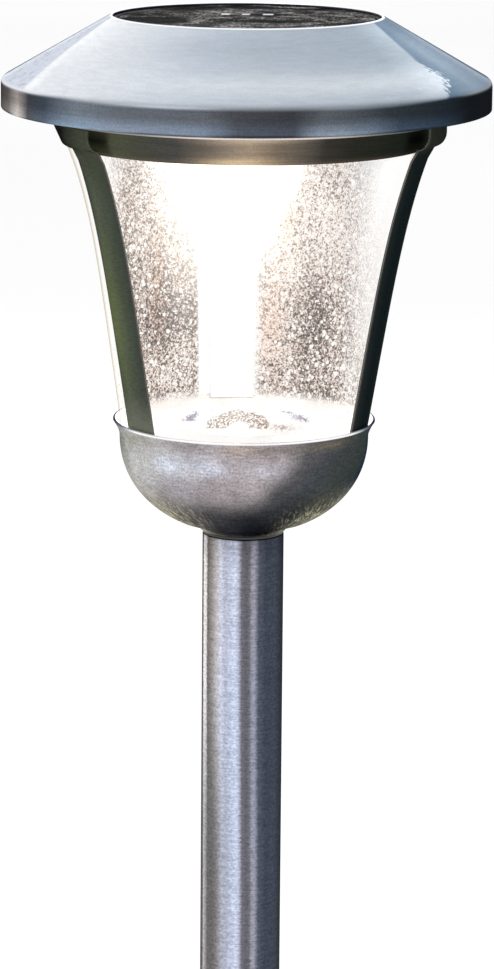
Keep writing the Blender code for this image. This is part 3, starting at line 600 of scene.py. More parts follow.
def collar_steel():
    """Dark olive-brown painted reflections on the band under the cap, with painted lamplight glowing
    from below.
    """
    p = Paint("collar_steel")
    turn = p.facing_turn()
    level = p.level(COLLAR.low, COLLAR.height)
    # painted reflections: olive-brown shades by the angle from the viewer
    colour = p.band_tones(turn, [
        (-1, 16, 18, 16), (-0.93, 26, 28, 25), (-0.84, 50, 54, 41), (-0.70, 74, 77, 60),
        (-0.52, 68, 69, 61), (-0.35, 70, 69, 67), (-0.21, 102, 93, 84), (-0.09, 132, 120, 106),
        (0.02, 150, 134, 114), (0.15, 114, 101, 88), (0.30, 86, 80, 73), (0.40, 52, 50, 46),
        (0.55, 39, 40, 33), (0.80, 29, 33, 27), (1, 20, 22, 21),
    ])
    # painted lamplight: patches glowing from below
    colour = p.patches(
        colour, turn, level,
        ((1, 0.84), (12, 0.12), 0.6, (196, 178, 158)),
        ((-3, 0.02), (10, 0.20), 0.9, (226, 198, 160)),
        ((0, 0), (50, 0.10), 0.25, (140, 120, 100)),
    )
    lines = p.noise((60, 60, 2000))
    sand = p.noise(1700, 2)
    colour = p.shaded(p.shaded(colour, lines, 0.14), sand, 0.12)
    # painted highlight: a bright band across the outward edge at the collar's top
    flange_highlight = p.band_tones(turn, [
        (-0.9, 70, 72, 66), (-0.5, 150, 148, 142), (-0.2, 226, 214, 210), (0.3, 222, 210, 206),
        (0.6, 120, 118, 114), (0.9, 60, 62, 62),
    ])
    colour = p.mix(p.between(level, 0.90, 0.92), colour, flange_highlight)
    return metal(p, colour, 0.34, p.bump(lines, 0.12))


def strap_steel():
    """Straps in painted reflection: olive-grey towards the viewer's left, near black to the right,
    with painted lamplight glowing on their inner faces.
    """
    p = Paint("strap_steel")
    foot = Span("strap_left")
    level = p.level(foot.low, foot.height)
    turn = p.facing_turn()
    # painted reflections: shades by the angle from the viewer
    colour = p.turn_tones(turn, [
        (-100, 30, 34, 30), (-64, 60, 66, 58), (-59, 78, 84, 72), (-54, 70, 77, 66),
        (-49, 62, 69, 62), (-45, 64, 66, 58), (-32, 84, 84, 88), (0, 96, 95, 92),
        (36, 122, 118, 98), (54, 60, 62, 64), (60, 32, 36, 36), (67, 20, 27, 28),
        (73, 19, 27, 28), (77, 38, 44, 44), (100, 14, 17, 18),
    ])
    # painted reflection: an olive patch low on the left
    colour = p.patches(colour, turn, level, ((-63, 0.40), (8, 0.26), 0.8, (98, 106, 72)))
    # painted reflections and painted shade by zone: pale low on the left, dark at the shoulder
    left = p.between(turn, -20, -40)
    shoulder = p.between(level, 0.90, 0.94)
    for zone, side, strength, shade in (
        (p.between(level, 0, 0.16, 1, 0), left, 0.8, (112, 114, 102)),
        (p.between(level, 0.74, 0.94), left, 0.8, (66, 69, 56)),
        (p.between(level, 0.80, 0.92), p.between(turn, 20, 50), 0.8, (24, 28, 27)),
        (shoulder, p.hump(turn, 15, 42), 0.9, (70, 72, 58)),
        (shoulder, p.between(turn, -52, -64), 0.8, (24, 26, 24)),
    ):
        colour = p.over(colour, p.times(zone, side), shade, strength)
    cloud = p.noise(38, stretch=(1, 1, 0.35))
    grain = p.noise((500, 500, 1900))
    colour = p.shaded(p.shaded(colour, cloud, 0.14), grain, 0.16)
    # painted lamplight: faces turned towards the axis glow, less so up at the shoulder
    lit = p.times(p.outward(-0.3, -0.7), p.between(level, 0.92, 0.87, 0.22, 1))
    rough = p.line(grain, 0.15, 0.30)
    gloss = p.shader("BsdfAnisotropic", Color=colour, Roughness=rough, Normal=p.bump(grain, 0.15))
    lamplight = p.shader("Emission", Color=tone(255, 250, 242), Strength=1.6)
    return p.surface(p.blend(lit, gloss, lamplight))


def bowl_shades(p, turn, level):
    """Painted reflections: pale blue-grey lights on the left, dark to the right and below."""
    lean = p.math("MAXIMUM", p.times(p.minus(0.82, level), 42), 0)
    upper = p.turn_tones(p.plus(turn, lean), [
        (-90, 66, 74, 88), (-84, 128, 130, 132), (-74, 160, 160, 152), (-54, 180, 179, 176),
        (-40, 182, 179, 180), (-29, 160, 155, 159), (-18, 178, 173, 178), (-6, 166, 158, 160),
        (8, 168, 159, 161), (18, 160, 152, 154), (25, 128, 123, 125), (31, 88, 87, 90),
        (42, 68, 71, 75), (60, 60, 65, 64), (80, 54, 61, 62), (88, 34, 46, 64),
    ])
    lower = p.turn_tones(turn, [
        (-90, 146, 148, 142), (-60, 158, 153, 138), (-48, 118, 113, 104), (-36, 88, 85, 82),
        (-22, 64, 64, 68), (0, 54, 55, 59), (20, 38, 40, 44), (32, 44, 45, 47),
        (44, 84, 83, 74), (60, 96, 96, 84), (80, 130, 132, 122),
    ])
    colour = p.mix(p.between(level, 0.24, 0.58), lower, upper)
    # painted reflections and highlights as soft patches
    colour = p.patches(
        colour, turn, level,
        ((-38, 0.74), (9, 0.09), 0.85, (214, 221, 232)),
        ((-17, 0.75), (11, 0.07), 0.80, (206, 210, 224)),
        ((11, 0.75), (8, 0.07), 0.70, (194, 191, 200)),
        ((-62, 0.70), (9, 0.12), 0.55, (198, 198, 200)),
        ((-24, 0.93), (16, 0.05), 0.60, (146, 136, 138)),
        ((16, 0.93), (14, 0.05), 0.70, (122, 116, 113)),
        ((-56, 0.93), (16, 0.05), 0.60, (150, 148, 138)),
        ((-20, 0.52), (14, 0.08), 0.50, (134, 125, 128)),
        ((20, 0.52), (10, 0.08), 0.40, (60, 60, 63)),
        ((0, 0.95), (9, 0.04), 0.50, (186, 168, 148)),
        ((42, 0.93), (14, 0.05), 0.60, (124, 114, 98)),
        ((54, 0.16), (14, 0.08), 0.70, (138, 136, 120)),
    )
    return colour


def bowl_reflection_streaks(p, colour, turn, level):
    """Light and dark streaks of painted reflection that run down the two sides of the bowl."""
    lean_turn = p.line(level, 16, p.times(turn, 0.62))
    down = p.node("CombineXYZ", {0: lean_turn, 1: p.times(level, 16), 2: 0})
    streak_noise = p.noise(1, 5, distortion=0.9, where=down.outputs[0])
    low = p.between(level, 0.52, 0.30)
    for centre, width in ((-58, 24), (56, 22)):
        where = p.blob(turn, level, (centre, 0.18), (width, 0.20), 0.75)
        mask = p.times(where, p.times(p.between(streak_noise, 0.52, 0.58), low))
        colour = p.over(colour, mask, (204, 199, 168))
        mask = p.times(where, p.times(p.between(streak_noise, 0.46, 0.38), low))
        colour = p.over(colour, mask, (52, 54, 50))
    return colour


def bowl_steel():
    """Bowl with crossed brushing and a painted highlight along its lip."""
    p = Paint("bowl_steel")
    sway = p.minus(p.noise(30, 4, distortion=0.5), 0.5)
    level = p.line(sway, 0.08, p.level(BOWL.low, BOWL.height))
    turn = p.line(sway, 12, p.facing_turn())
    colour = bowl_reflection_streaks(p, bowl_shades(p, turn, level), turn, level)
    grain = p.noise(1500, 2)
    cross = p.noise((260, 260, 1700))
    patch = p.noise(110, distortion=0.8)
    colour = p.shaded(p.shaded(colour, grain, 0.28), cross, 0.17)
    colour = p.shaded(colour, patch, 0.10)
    # painted highlight: white along the lip, with painted dark reflection at its two ends
    rim = p.between(p.height(), BOWL.high - 0.9 * UNIT, BOWL.high - 0.5 * UNIT)
    lip = p.turn_tones(p.facing_turn(), [
        (-84, 34, 44, 66), (-70, 120, 130, 150), (-56, 250, 250, 252), (56, 250, 250, 252),
        (68, 110, 120, 142), (80, 34, 44, 66),
    ])
    colour = p.mix(rim, colour, lip)
    return metal(p, colour, p.line(grain, 0.2, 0.28), p.bump(grain, 0.2))


def lamplit(name, metallic, glow):
    """Surfaces round the lens's foot, glowing with painted lamplight."""
    p = Paint(name)
    cloud = p.noise(60)
    colour = p.ramp(cloud, [(0.35, tone(240, 236, 232)), (0.6, tone(253, 251, 249))])
    return p.principled(Base_Color=colour, Metallic=metallic, Roughness=0.35,
                        Emission_Color=colour, Emission_Strength=glow)


def plain_metal(name, colour, roughness):
    """Plated or bright steel for small fittings."""
    p = Paint(name)
    grain = p.noise(700)
    rough = p.line(grain, 0.2, roughness - 0.1)
    return metal(p, p.shaded(colour, grain, 0.2), rough, p.bump(grain, 0.1))


# ---- other materials


def plastic(name, colour, roughness=0.45, speck=0.25, scale=900):
    """Moulded plastic with a fine spark-eroded grain and slight wear."""
    p = Paint(name)
    grain = p.noise(scale, 4)
    cloud = p.noise(45)
    wear = p.line(cloud, 0.5, p.times(grain, 0.5))
    return p.principled(Base_Color=p.shaded(colour, wear, speck), Normal=p.bump(grain, 0.25),
                        Roughness=p.line(cloud, 0.25, roughness - 0.12))


def speckle_zones(p, across, height):
    """Where the lens's far wall shows its seeds against a painted dark garden behind it: two zones
    beside the rear strap with its painted lamplight, narrower towards the mouth."""
    up = p.minus(height, BOWL.high)
    left_in = p.line(p.between(up, 52, 84), -9, -11)
    left = p.times(p.between(p.minus(left_in, across), -0.4, 0.9), p.between(across, -44, -33))
    right_in = p.line(p.between(up, 38, 74), 15, 6)
    right = p.times(p.between(p.minus(across, right_in), -0.6, 3), p.between(across, 50, 31))
    ends = p.times(p.between(up, 90, 66, 0.4, 1), p.between(up, -1.5, 2.5))
    return p.times(p.plus(left, right), ends)


def seed_specks(p, across, up):
    """Dark and light specks, thicker in some places than in others: painted dark garden seen through
    the glass, broken by light seeds.
    """
    cloud = p.noise(48, stretch=(1, 1, 0.55))
    speck = p.line(p.noise(1650, 2), 0.62, p.times(p.noise(800, 2), 0.38))
    speck = p.line(p.minus(cloud, 0.5), -0.30, speck)
    for centre, size, strength in (
        ((-25, 30), (8, 26), -0.075),
        ((-15, 36), (6, 18), -0.04),
        ((24, 34), (7.5, 22), -0.06),
        ((-24, 8), (12, 7), 0.05),
        ((-14, 22), (10, 14), -0.04),
        ((20, 64), (16, 13), 0.045),
        ((-16, 72), (10, 13), 0.07),
        ((10, 52), (7, 10), 0.05),
        ((20, 84), (30, 12), 0.05),
    ):
        speck = p.line(p.blob(across, up, centre, size), strength, speck)
    return p.tones(speck, [
        (0.34, 50, 42, 38), (0.42, 118, 103, 96), (0.47, 180, 163, 154), (0.53, 226, 213, 204),
        (0.61, 252, 246, 240),
    ])


def seeded_glass():
    """Clear glass full of tiny seeds, speckled with painted dark garden on the far wall and burnt out
    by light elsewhere.
    """
    p = Paint("seeded_glass")
    across, height = p.across(), p.height()
    zone = p.times(speckle_zones(p, across, height), p.far_side())
    up = p.minus(height, BOWL.high)
    dots = seed_specks(p, across, up)
    clear = tone(255, 255, 255)
    colour = p.mix(zone, clear, dots)
    # painted lamplight: tinted patches of glow on the far wall
    for centre, size, strength, shade in (
        ((16, 62), (4, 16), 0.9, (250, 226, 204)),
        ((-17, 60), (3, 20), 0.8, (250, 224, 208)),
        ((-24, 40), (2.5, 22), 0.6, (244, 214, 190)),
        ((12, 24), (4, 16), 0.6, (250, 222, 206)),
    ):
        warm_glow = p.times(p.blob(across, up, centre, size, strength), p.far_side())
        colour = p.mix(warm_glow, colour, tone(*shade), "MULTIPLY")
    colour = p.mix(p.node("NewGeometry").outputs["Backfacing"], colour, clear)
    # painted reflection: a cream line along the lens's outline, on its outer face
    edge_reflection = p.times(p.between(p.facing(), 0.80, 0.93), p.outward(0, 0.1))
    colour = p.over(colour, edge_reflection, (214, 204, 178))
    see_through = p.shader("BsdfTransparent", Color=colour)
    gloss = p.shader("BsdfAnisotropic", Color=clear, Roughness=0.06)
    # painted glow: the upper middle of the lens emits light, though it is no lamp
    glow = p.blob(across, up, (-2, 90), (17, 36), 0.8)
    light = p.shader("Emission", Color=tone(255, 250, 240), Strength=glow)
    return p.surface(p.node("AddShader", {0: p.blend(0.03, see_through, gloss), 1: light}).outputs[0])


def seed_glass():
    """The seeds themselves: hearts glowing with painted light, with painted dark rims where the far
    wall is painted dark.
    """
    p = Paint("seed_glass")
    zone = p.times(speckle_zones(p, p.across(), p.height()), p.far_side())
    heart = tone(255, 253, 249)
    rim = p.times(p.between(p.facing(), 0.62, 0.86), zone)
    light = p.shader("Emission", Color=p.mix(rim, heart, tone(150, 134, 124)), Strength=1)
    clear = p.shader("BsdfTransparent", Color=heart)
    return p.surface(p.blend(0.85, clear, light))


def ring_part(p, x, seen, sway, centre, size, inner, outer, floor):
    """Part of an oval ring that lies above floor, with soft uneven edges."""
    a = p.share(p.minus(x, centre[0]), size[0])
    b = p.share(p.minus(seen, centre[1]), size[1])
    square = p.line(a, a, p.times(b, b))
    far = p.plus(p.math("SQRT", square), sway)
    band = p.times(p.between(far, inner - 0.06, inner + 0.10),
                   p.between(far, outer + 0.08, outer - 0.08))
    return p.times(band, p.between(seen, floor - 0.4, floor + 0.4))


def lit_mirror():
    """Metallised floor of the lens, glowing with painted lamplight, with painted reflections: a brown
    speckled arch on its raised middle and lavender speckled streaks beside it."""
    p = Paint("lit_mirror")
    cloud = p.noise((120, 30, 120))
    fine = p.noise((1500, 330, 1300), 2)
    x, deep = p.spot("X"), p.spot("Y")
    rise = p.minus(p.height(), DISH.high)
    seen = p.line(deep, 0.2, rise)
    sway = p.times(p.minus(cloud, 0.5), 0.5)

    brown = p.tones(fine, [
        (0.40, 78, 60, 52), (0.48, 138, 118, 108), (0.55, 196, 182, 174), (0.63, 250, 246, 243),
    ])
    lavender = p.tones(fine, [
        (0.42, 112, 108, 132), (0.50, 158, 156, 180), (0.57, 202, 201, 220), (0.66, 248, 248, 252),
    ])
    colour = tone(253, 251, 250)
    # painted reflections: lavender streaks, a brown arch with its tail, and tan specks in front
    streak = ring_part(p, x, seen, sway, (0, -3.4), (21.5, 9.4), 0.80, 1.02, -0.2)
    streak = p.times(streak, p.between(p.math("ABSOLUTE", x), 8.5, 10.5))
    colour = p.mix(streak, colour, lavender)
    arch = ring_part(p, x, seen, sway, (-1.8, -2.6), (9.6, 6.4), 0.30, 1, -2.4)
    colour = p.mix(arch, colour, brown)
    tail = p.times(p.blob(x, seen, (11, -2), (5, 1.3), 0.9), 0.9)
    colour = p.mix(tail, colour, brown)
    front = p.blob(x, seen, (0, -4), (11, 1), 0.6)
    colour = p.over(colour, p.times(front, p.between(fine, 0.52, 0.42)), (214, 196, 178))
    # the floor glows with painted lamplight
    return p.principled(Base_Color=p.dimmed(colour, 0.22), Metallic=1, Roughness=0.3,
                        Emission_Color=colour, Emission_Strength=0.9)


def panel_glaze():
    """Clear cover over black cells, with painted reflections of garden, brown and grey streaks, in its
    gloss.
    """
    p = Paint("panel_glaze")
    streak = p.noise((110, 120, 100), 4, distortion=1)
    fleck = p.noise((1500, 420, 900), 2)
    both = p.line(streak, 0.6, p.times(fleck, 0.4))
    # painted reflection: brown and grey streaks of garden
    garden_reflection = p.tones(both, [
        (0.38, 4, 4, 4), (0.45, 36, 35, 35), (0.51, 74, 72, 71), (0.57, 118, 115, 113),
        (0.66, 170, 167, 164),
    ])
    # darker gaps in the painted reflection
    gap = p.noise((36, 46, 40), 2)
    garden_reflection = p.dimmed(garden_reflection, p.between(gap, 0.41, 0.50, 0.05, 1))
    # painted glints: three short bright dashes on the cover
    x, y = p.spot("X"), p.spot("Y")
    along = p.between(p.math("ABSOLUTE", p.minus(y, 5)), 2.6, 1.2)
    for middle, reach in ((-6.6, 1.3), (-0.4, 1.2), (6.4, 1.6)):
        side = p.math("ABSOLUTE", p.minus(x, middle))
        lit = p.times(p.between(side, reach + 0.3, reach - 0.3), along)
        garden_reflection = p.over(garden_reflection, lit, (226, 226, 236))
    # the painted reflection glows where the cover is seen aslant
    slant = p.between(p.facing(), 0.45, 0.85)
    front = p.minus(1, p.node("NewGeometry").outputs["Backfacing"])
    light = p.shader("Emission", Color=garden_reflection, Strength=p.times(slant, front))
    tint = p.mix(slant, tone(250, 250, 252), tone(180, 180, 184))
    clear = p.shader("BsdfTransparent", Color=tint)
    gloss = p.shader("BsdfAnisotropic", Color=tone(255, 255, 255), Roughness=0.08)
    return p.surface(p.node("AddShader", {0: p.blend(0.02, clear, gloss), 1: light}).outputs[0])


def cell_silicon():
    """Dark cell with faint crystal patches."""
    p = Paint("cell_silicon")
    made = p.node("TexVoronoi", {"Vector": p.place(), "Scale": 240})
    hue = p.node("SeparateColor", {0: made.outputs["Color"]}).outputs[0]
    colour = p.ramp(hue, [(0, tone(12, 12, 20)), (0.6, tone(20, 20, 34)), (1, tone(30, 30, 48))])
    return p.principled(Base_Color=colour, Roughness=0.28, Metallic=0.2)


def circuit_green():
    """Solder-resist green over faint copper tracks."""
    p = Paint("circuit_green")
    tracks = p.node("TexBrick", {"Vector": p.place(), "Scale": 160, "Mortar Size": 0.02})
    line = tracks.outputs["Fac"]
    colour = p.mix(line, tone(22, 84, 44), tone(46, 118, 66))
    grain = p.noise(600, 2)
    colour = p.tinted(colour, p.ramp(grain, [(0.3, 0.85), (0.7, 1.1)]))
    return p.principled(Base_Color=colour, Roughness=0.35)


def battery_jacket():
    """Plain sleeve: green body, silver band at the positive end."""
    p = Paint("battery_jacket")
    band = p.between(p.spot("X"), 16, 16.4)
    grain = p.noise(300)
    colour = p.mix(band, tone(30, 120, 62), tone(196, 200, 204))
    colour = p.tinted(colour, p.ramp(grain, [(0.3, 0.9), (0.7, 1.08)]))
    return p.principled(Base_Color=colour, Roughness=0.3, Metallic=0.3)


def led_light():
    """Warm white LED body, lit."""
    p = Paint("led_light")
    grain = p.noise(500, 2)
    colour = p.ramp(grain, [(0.3, tone(255, 236, 200)), (0.7, tone(255, 250, 236))])
    return p.principled(Base_Color=colour, Roughness=0.1, Emission_Color=colour,
                        Emission_Strength=12)


def pale_floor():
    p = Paint("pale_floor")
    cloud = p.noise(0.8, 2)
    colour = p.ramp(cloud, [(0.3, (0.95, 0.95, 0.955, 1)), (0.7, (0.98, 0.98, 0.98, 1))])
    return p.principled(Base_Color=colour, Roughness=0.9)


# ---- fine pieces


def cap_outline():
    """Outer face of the cap, from the opening's rolled lip to the hem."""
    shoulder = 42.6 * UNIT
    slope = math.atan2(CONE_DROP, CAP.r - shoulder)
    edge_top = math.pi / 2 - slope
    tangent = 1.4 * UNIT
    radius = tangent / math.tan(edge_top / 2)
    centre = (CAP.r - radius, CREASE - tangent)
    lip_r = 0.35 * UNIT
    lip = (OPENING_R + lip_r, CAP.high - lip_r)
    path = [on_circle(lip, lip_r, math.pi * (1 - k / 8 * 0.86)) for k in range(9)]
    last, edge = path[-1], on_circle(centre, radius, edge_top)
    path += [part_way(last, edge, k / 24) for k in range(1, 24)]
    path += [on_circle(centre, radius, edge_top * (1 - k / 12)) for k in range(13)]
    hem_r = 0.4 * UNIT
    hem = (CAP.r - hem_r, CAP.low + hem_r)
    path += [on_circle(hem, hem_r, -math.pi / 2 * k / 6) for k in range(7)]
    path.append((72.9 * UNIT, CAP.low))
    return path


def coat(obj, material):
    obj.data.materials.clear()
    obj.data.materials.append(material)


def dress(obj, material, body, node=None):
    """Gives a piece its material and body, and hides the CAD node that it stands for."""
    obj.data.materials.append(material)
    if node:
        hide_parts(node)
    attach(obj, body)


def build_cap():
    path = cap_outline()
    inside = offset(path, SHEET)
    inside = [(r, z) for r, z in inside[::-1] if z < CAP.high - SHEET * 0.7]
    obj = turned("cap_sheet", path + inside)
    dress(obj, cap_steel(), "cap", "cap_shell")


def build_pole():
    wall = 1.0 * UNIT
    outline = ring_outline((POLE.r - wall, POLE.r), (POLE.low, POLE.high), 0.3)
    obj = turned("pole_sleeve", outline, MEDIUM * 2)
    dress(obj, pole_steel(), "pole", "pole_tube")


def bowl_side_level(radius, widest, equator, belly, fullness):
    share = max(1 - (radius / widest) ** fullness, 0.0) ** (1 / fullness)
    return equator - belly * share


def bowl_outline():
    """Neck curve, round side and flared lip, outer face, upwards."""
    neck_r, flare_r, widest = 13.3 * UNIT, 20.5 * UNIT, 38.7 * UNIT
    equator, belly, fullness = BOWL.low + 30.4 * UNIT, 31.0 * UNIT, 2.16
    ends = Vector((neck_r, BOWL.low)), Vector((
        flare_r, bowl_side_level(flare_r, widest, equator, belly, fullness)))
    pull = Vector((neck_r + 1.1 * UNIT, BOWL.low + 1.7 * UNIT))
    path = [curve(ends[0], pull, ends[1], i / 14) for i in range(14)]
    start = math.asin((flare_r / widest) ** (fullness / 2))
    for i in range(33):
        t = start + (math.pi / 2 - start) * i / 32
        radius = widest * math.sin(t) ** (2 / fullness)
        path.append((radius, bowl_side_level(radius, widest, equator, belly, fullness)))
    foot = path[-1]
    lip = (BOWL.r - 0.3 * UNIT, BOWL.high - 0.3 * UNIT)
    for i in range(1, 9):
        t = i / 8
        path.append((part_way(foot, lip, t**1.5)[0], part_way(foot, lip, t)[1]))
    return path


def build_bowl():
    path = bowl_outline()
    inside = offset(path, -SHEET * 0.85)
    inside[0] = (inside[0][0], BOWL.low)
    bead_r = 0.3 * UNIT
    centre = (Vector(path[-1]) + Vector(inside[-1])) / 2
    bead_at = (centre.x, BOWL.high - bead_r)
    bead = [on_circle(bead_at, bead_r, math.radians(-30 + 240 * k / 12)) for k in range(1, 12)]
    outer = [0] * (len(path) + len(bead))
    obj = turned("bowl_sheet", path + bead + inside[::-1], materials=outer + [1] * len(inside))
    dress(obj, bowl_steel(), "lantern", "bowl")
    # the bowl's inner face glows with painted lamplight
    obj.data.materials.append(lamplit("lamplit_steel", 1.0, 0.5))


def lens_radius(z):
    up = max(z - BOWL.high, 0.0)
    share = up / (LENS.high - BOWL.high)
    return 38.6 * UNIT + 0.14 * up + 5.2 * UNIT * share**5.2


def build_lens():
    foot = LENS.low + 0.8 * UNIT
    wall = 2.2 * UNIT
    steps = 48
    path = [(lens_radius(foot) - 1.25 * UNIT, LENS.low)]
    for k in range(steps + 1):
        z = foot + (LENS.high - foot) * k / steps
        path.append((lens_radius(z), z))
    inside = offset(path, -wall)
    inside[0] = (inside[0][0], LENS.low)
    inside[-1] = (inside[-1][0], LENS.high)
    obj = turned("lens_glass", path + inside[::-1])
    dress(obj, seeded_glass(), "lantern", "lens")
    build_seeds(wall)


def build_seeds(wall):
    """Thousands of small bubbles in the lens's wall."""
    rng = random.Random(11)
    ball = bmesh.new()
    bmesh.ops.create_icosphere(ball, subdivisions=1, radius=1.0)
    ball.verts.ensure_lookup_table()
    shape = [tuple(v.co) for v in ball.verts]
    triangles = [tuple(v.index for v in f.verts) for f in ball.faces]
    ball.free()
    vertices, faces = [], []
    for _ in range(SEEDS):
        z = LENS.low + 3 + (LENS.height - 8) * rng.random()
        size = 0.17 + 0.48 * rng.random() ** 2
        depth = size + 0.1 + (wall - 2 * size - 0.2) * rng.random()
        r = lens_radius(z) - depth
        a = math.tau * rng.random()
        start = len(vertices)
        centre = (r * math.cos(a), r * math.sin(a), z)
        tall = 1.0 + 0.3 * rng.random()
        for x, y, h in shape:
            vertices.append((centre[0] + size * x, centre[1] + size * y, centre[2] + size * tall * h))
        faces += [tuple(start + i for i in t) for t in triangles]
    obj = make_object("lens_seeds", vertices, faces, smooth_angle=180.0)
    dress(obj, seed_glass(), "lantern")


def build_collar():
    node = COLLAR
    bottom_r = 56.6 * UNIT
    flare = 0.457
    top = node.low + 8.5 * UNIT
    outline = [
        (bottom_r - SHEET, node.low),
        (bottom_r, node.low),
        (bottom_r + flare * (top - node.low), top),
        (node.r, top),
        (node.r, node.high),
        (bottom_r + flare * node.height - SHEET, node.high),
    ]
    obj = turned("collar_band", rounded(outline, 0.3 * UNIT))
    dress(obj, collar_steel(), "lantern", "collar_ring")


def strap_path(foot):
    """Outer face of a strap: a taper with a flare, then a rounded shoulder."""
    centre_z = foot.high - 2.3 * UNIT
    bend = centre_z - 4.8 * UNIT - BOWL.high
    path = []
    for k in range(33):
        share = -0.01 + 0.97 * k / 32
        up = share * bend
        flare = 4.2 * UNIT * max(share, 0.0) ** 4.7
        path.append((39.5 * UNIT + 0.175 * up + flare, BOWL.high - 0.2 * UNIT + up))
    for degrees in range(10, 91, 5):
        a = math.radians(degrees)
        path.append(((59.0 + 4.6 * math.sin(a)) * UNIT, centre_z - 4.8 * UNIT * math.cos(a)))
    path.append((63.6 * UNIT, foot.high))
    return path


def strap_section():
    """Points of a strap's cross-section, across and inwards, with slightly rolled edges."""
    width, thickness = 13.8 * UNIT, 0.6 * UNIT
    half = width / 2
    corners = [(-half, 0), (half, 0), (half, thickness), (-half, thickness)]
    section = rounded(corners, 0.25 * UNIT, steps=3)
    points = []
    for i, point in enumerate(section):
        after = section[(i + 1) % len(section)]
        count = 10 if abs(after[0] - point[0]) > half else 1
        points += [part_way(point, after, k / count) for k in range(count)]
    return points


def path_normals(path):
    normals = []
    for i in range(len(path)):
        a, b = Vector(path[max(i - 1, 0)]), Vector(path[min(i + 1, len(path) - 1)])
        along = (b - a).normalized()
        normals.append(Vector((along.y, -along.x)))
    return normals


def build_strap(node, steel):
    """A strip wrapped round the axis."""
    low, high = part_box(node)
    towards = math.atan2((low.y + high.y) / 2, (low.x + high.x) / 2)
    foot = Span(node)
    path = strap_path(foot)
    section = strap_section()
    vertices = []
    for (r, z), normal in zip(path, path_normals(path)):
        for across, inward in section:
            spot_r, spot_z = r - normal.x * inward, z - normal.y * inward
            a = towards + across / r
            vertices.append((*on_circle((0, 0), spot_r, a), spot_z))
    n = len(section)
    faces = []
    for i in range(len(path) - 1):
        for k in range(n):
            m = (k + 1) % n
            faces.append((i * n + k, i * n + m, (i + 1) * n + m, (i + 1) * n + k))
    faces.append(tuple(range(n)))
    faces.append(tuple(range((len(path) - 1) * n, len(path) * n)))
    obj = make_object(node + "_bar", vertices, faces)
    dress(obj, steel, "lantern", node)


def build_dish():
    node = DISH
    flat = node.low + SHEET
    top = node.high
    path = [
        (0.0, top),
        (4.0 * UNIT, top),
        (21.0 * UNIT, top - 0.5 * UNIT),
        (23.5 * UNIT, flat),
        (node.r, flat),
    ]
    path = rounded(path, 0.8 * UNIT, closed=False, steps=5)
    under = offset(path, SHEET)
    under[0] = (0.0, under[0][1])
    obj = turned("reflector_dish", path + under[::-1])
    dress(obj, lit_mirror(), "lantern", "base_reflector")


def build_rings():
    """Gaskets and seal, turned with soft edges."""
    rubber = plastic("black_rubber", tone(26, 26, 27), 0.75, 0.3, 500.0)
    # the clear silicone gaskets glow with painted lamplight
    silicone = lamplit("clear_silicone", 0.0, 0.6)
    for node, inner, body, slot, material in (
        ("lens_foot_gasket", 34.8, "lantern", "silicone", silicone),
        ("lens_top_gasket", 52.4, "lantern", "silicone", silicone),
        ("cap_seal", 50.3, "seal", "rubber", rubber),
        ("panel_gasket", 39.8, "cap", "rubber", rubber),
    ):
        span = Span(node)
        outline = ring_outline((inner * UNIT, span.r), (span.low, span.high), 0.2 * UNIT)
        obj = turned(node + "_ring", outline, MEDIUM * 2)
        dress(obj, material, body, node)


def box_mesh(name, boxes, material, body):
    """One object of separate blocks, each given by two corners in millimetres."""
    bm = bmesh.new()
    for low, high in boxes:
        low, high = Vector(low) * MM, Vector(high) * MM
        scale = Matrix.Diagonal((*(high - low), 1.0))
        bmesh.ops.create_cube(bm, size=1.0, matrix=Matrix.Translation((low + high) / 2) @ scale)
    mesh = bpy.data.meshes.new(name)
    bm.to_mesh(mesh)
    bm.free()
    dress(linked(name, mesh), material, body)


def build_panel():
    """Domed cover, and the cells' fingers and ribbons."""
    low, high, r = COVER.low, COVER.high, COVER.r
    ledge = high - 1.7 * UNIT
    outline = [
        (0.0, low), (r, low), (r, ledge), (r - 1.9 * UNIT, ledge), (r - 2.4 * UNIT, high - 0.6 * UNIT),
        (r - 4.9 * UNIT, high - 0.2 * UNIT), (r * 0.5, high - 0.05 * UNIT), (0.0, high),
    ]
    obj = turned("panel_glass", rounded(outline, 0.5 * UNIT, closed=False, steps=5), MEDIUM * 2)
    dress(obj, panel_glaze(), "cap", "panel_cover")
    silicon = cell_silicon()
    ribbon = plain_metal("cell_ribbon", tone(112, 112, 118), 0.3)
    for number in range(1, 5):
        node = f"solar_cell_{number}"
        coat(frame["nodes"][node], silicon)
        low, high = (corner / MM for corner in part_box(node))
        top = high.z + 0.02
        middle = (low.x + high.x) / 2
        boxes = []
        for x in (middle - 3.2, middle + 3.2):
            boxes.append(((x - 0.45, low.y + 0.8, top), (x + 0.45, high.y - 0.8, top + 0.12)))
        fingers = 22
        for k in range(fingers):
            y = low.y + 1.2 + (high.y - low.y - 2.4) * k / (fingers - 1)
            boxes.append(((low.x + 0.6, y - 0.07, top), (high.x - 0.6, y + 0.07, top + 0.05)))
        box_mesh(f"cell_ribbons_{number}", boxes, ribbon, "cap")


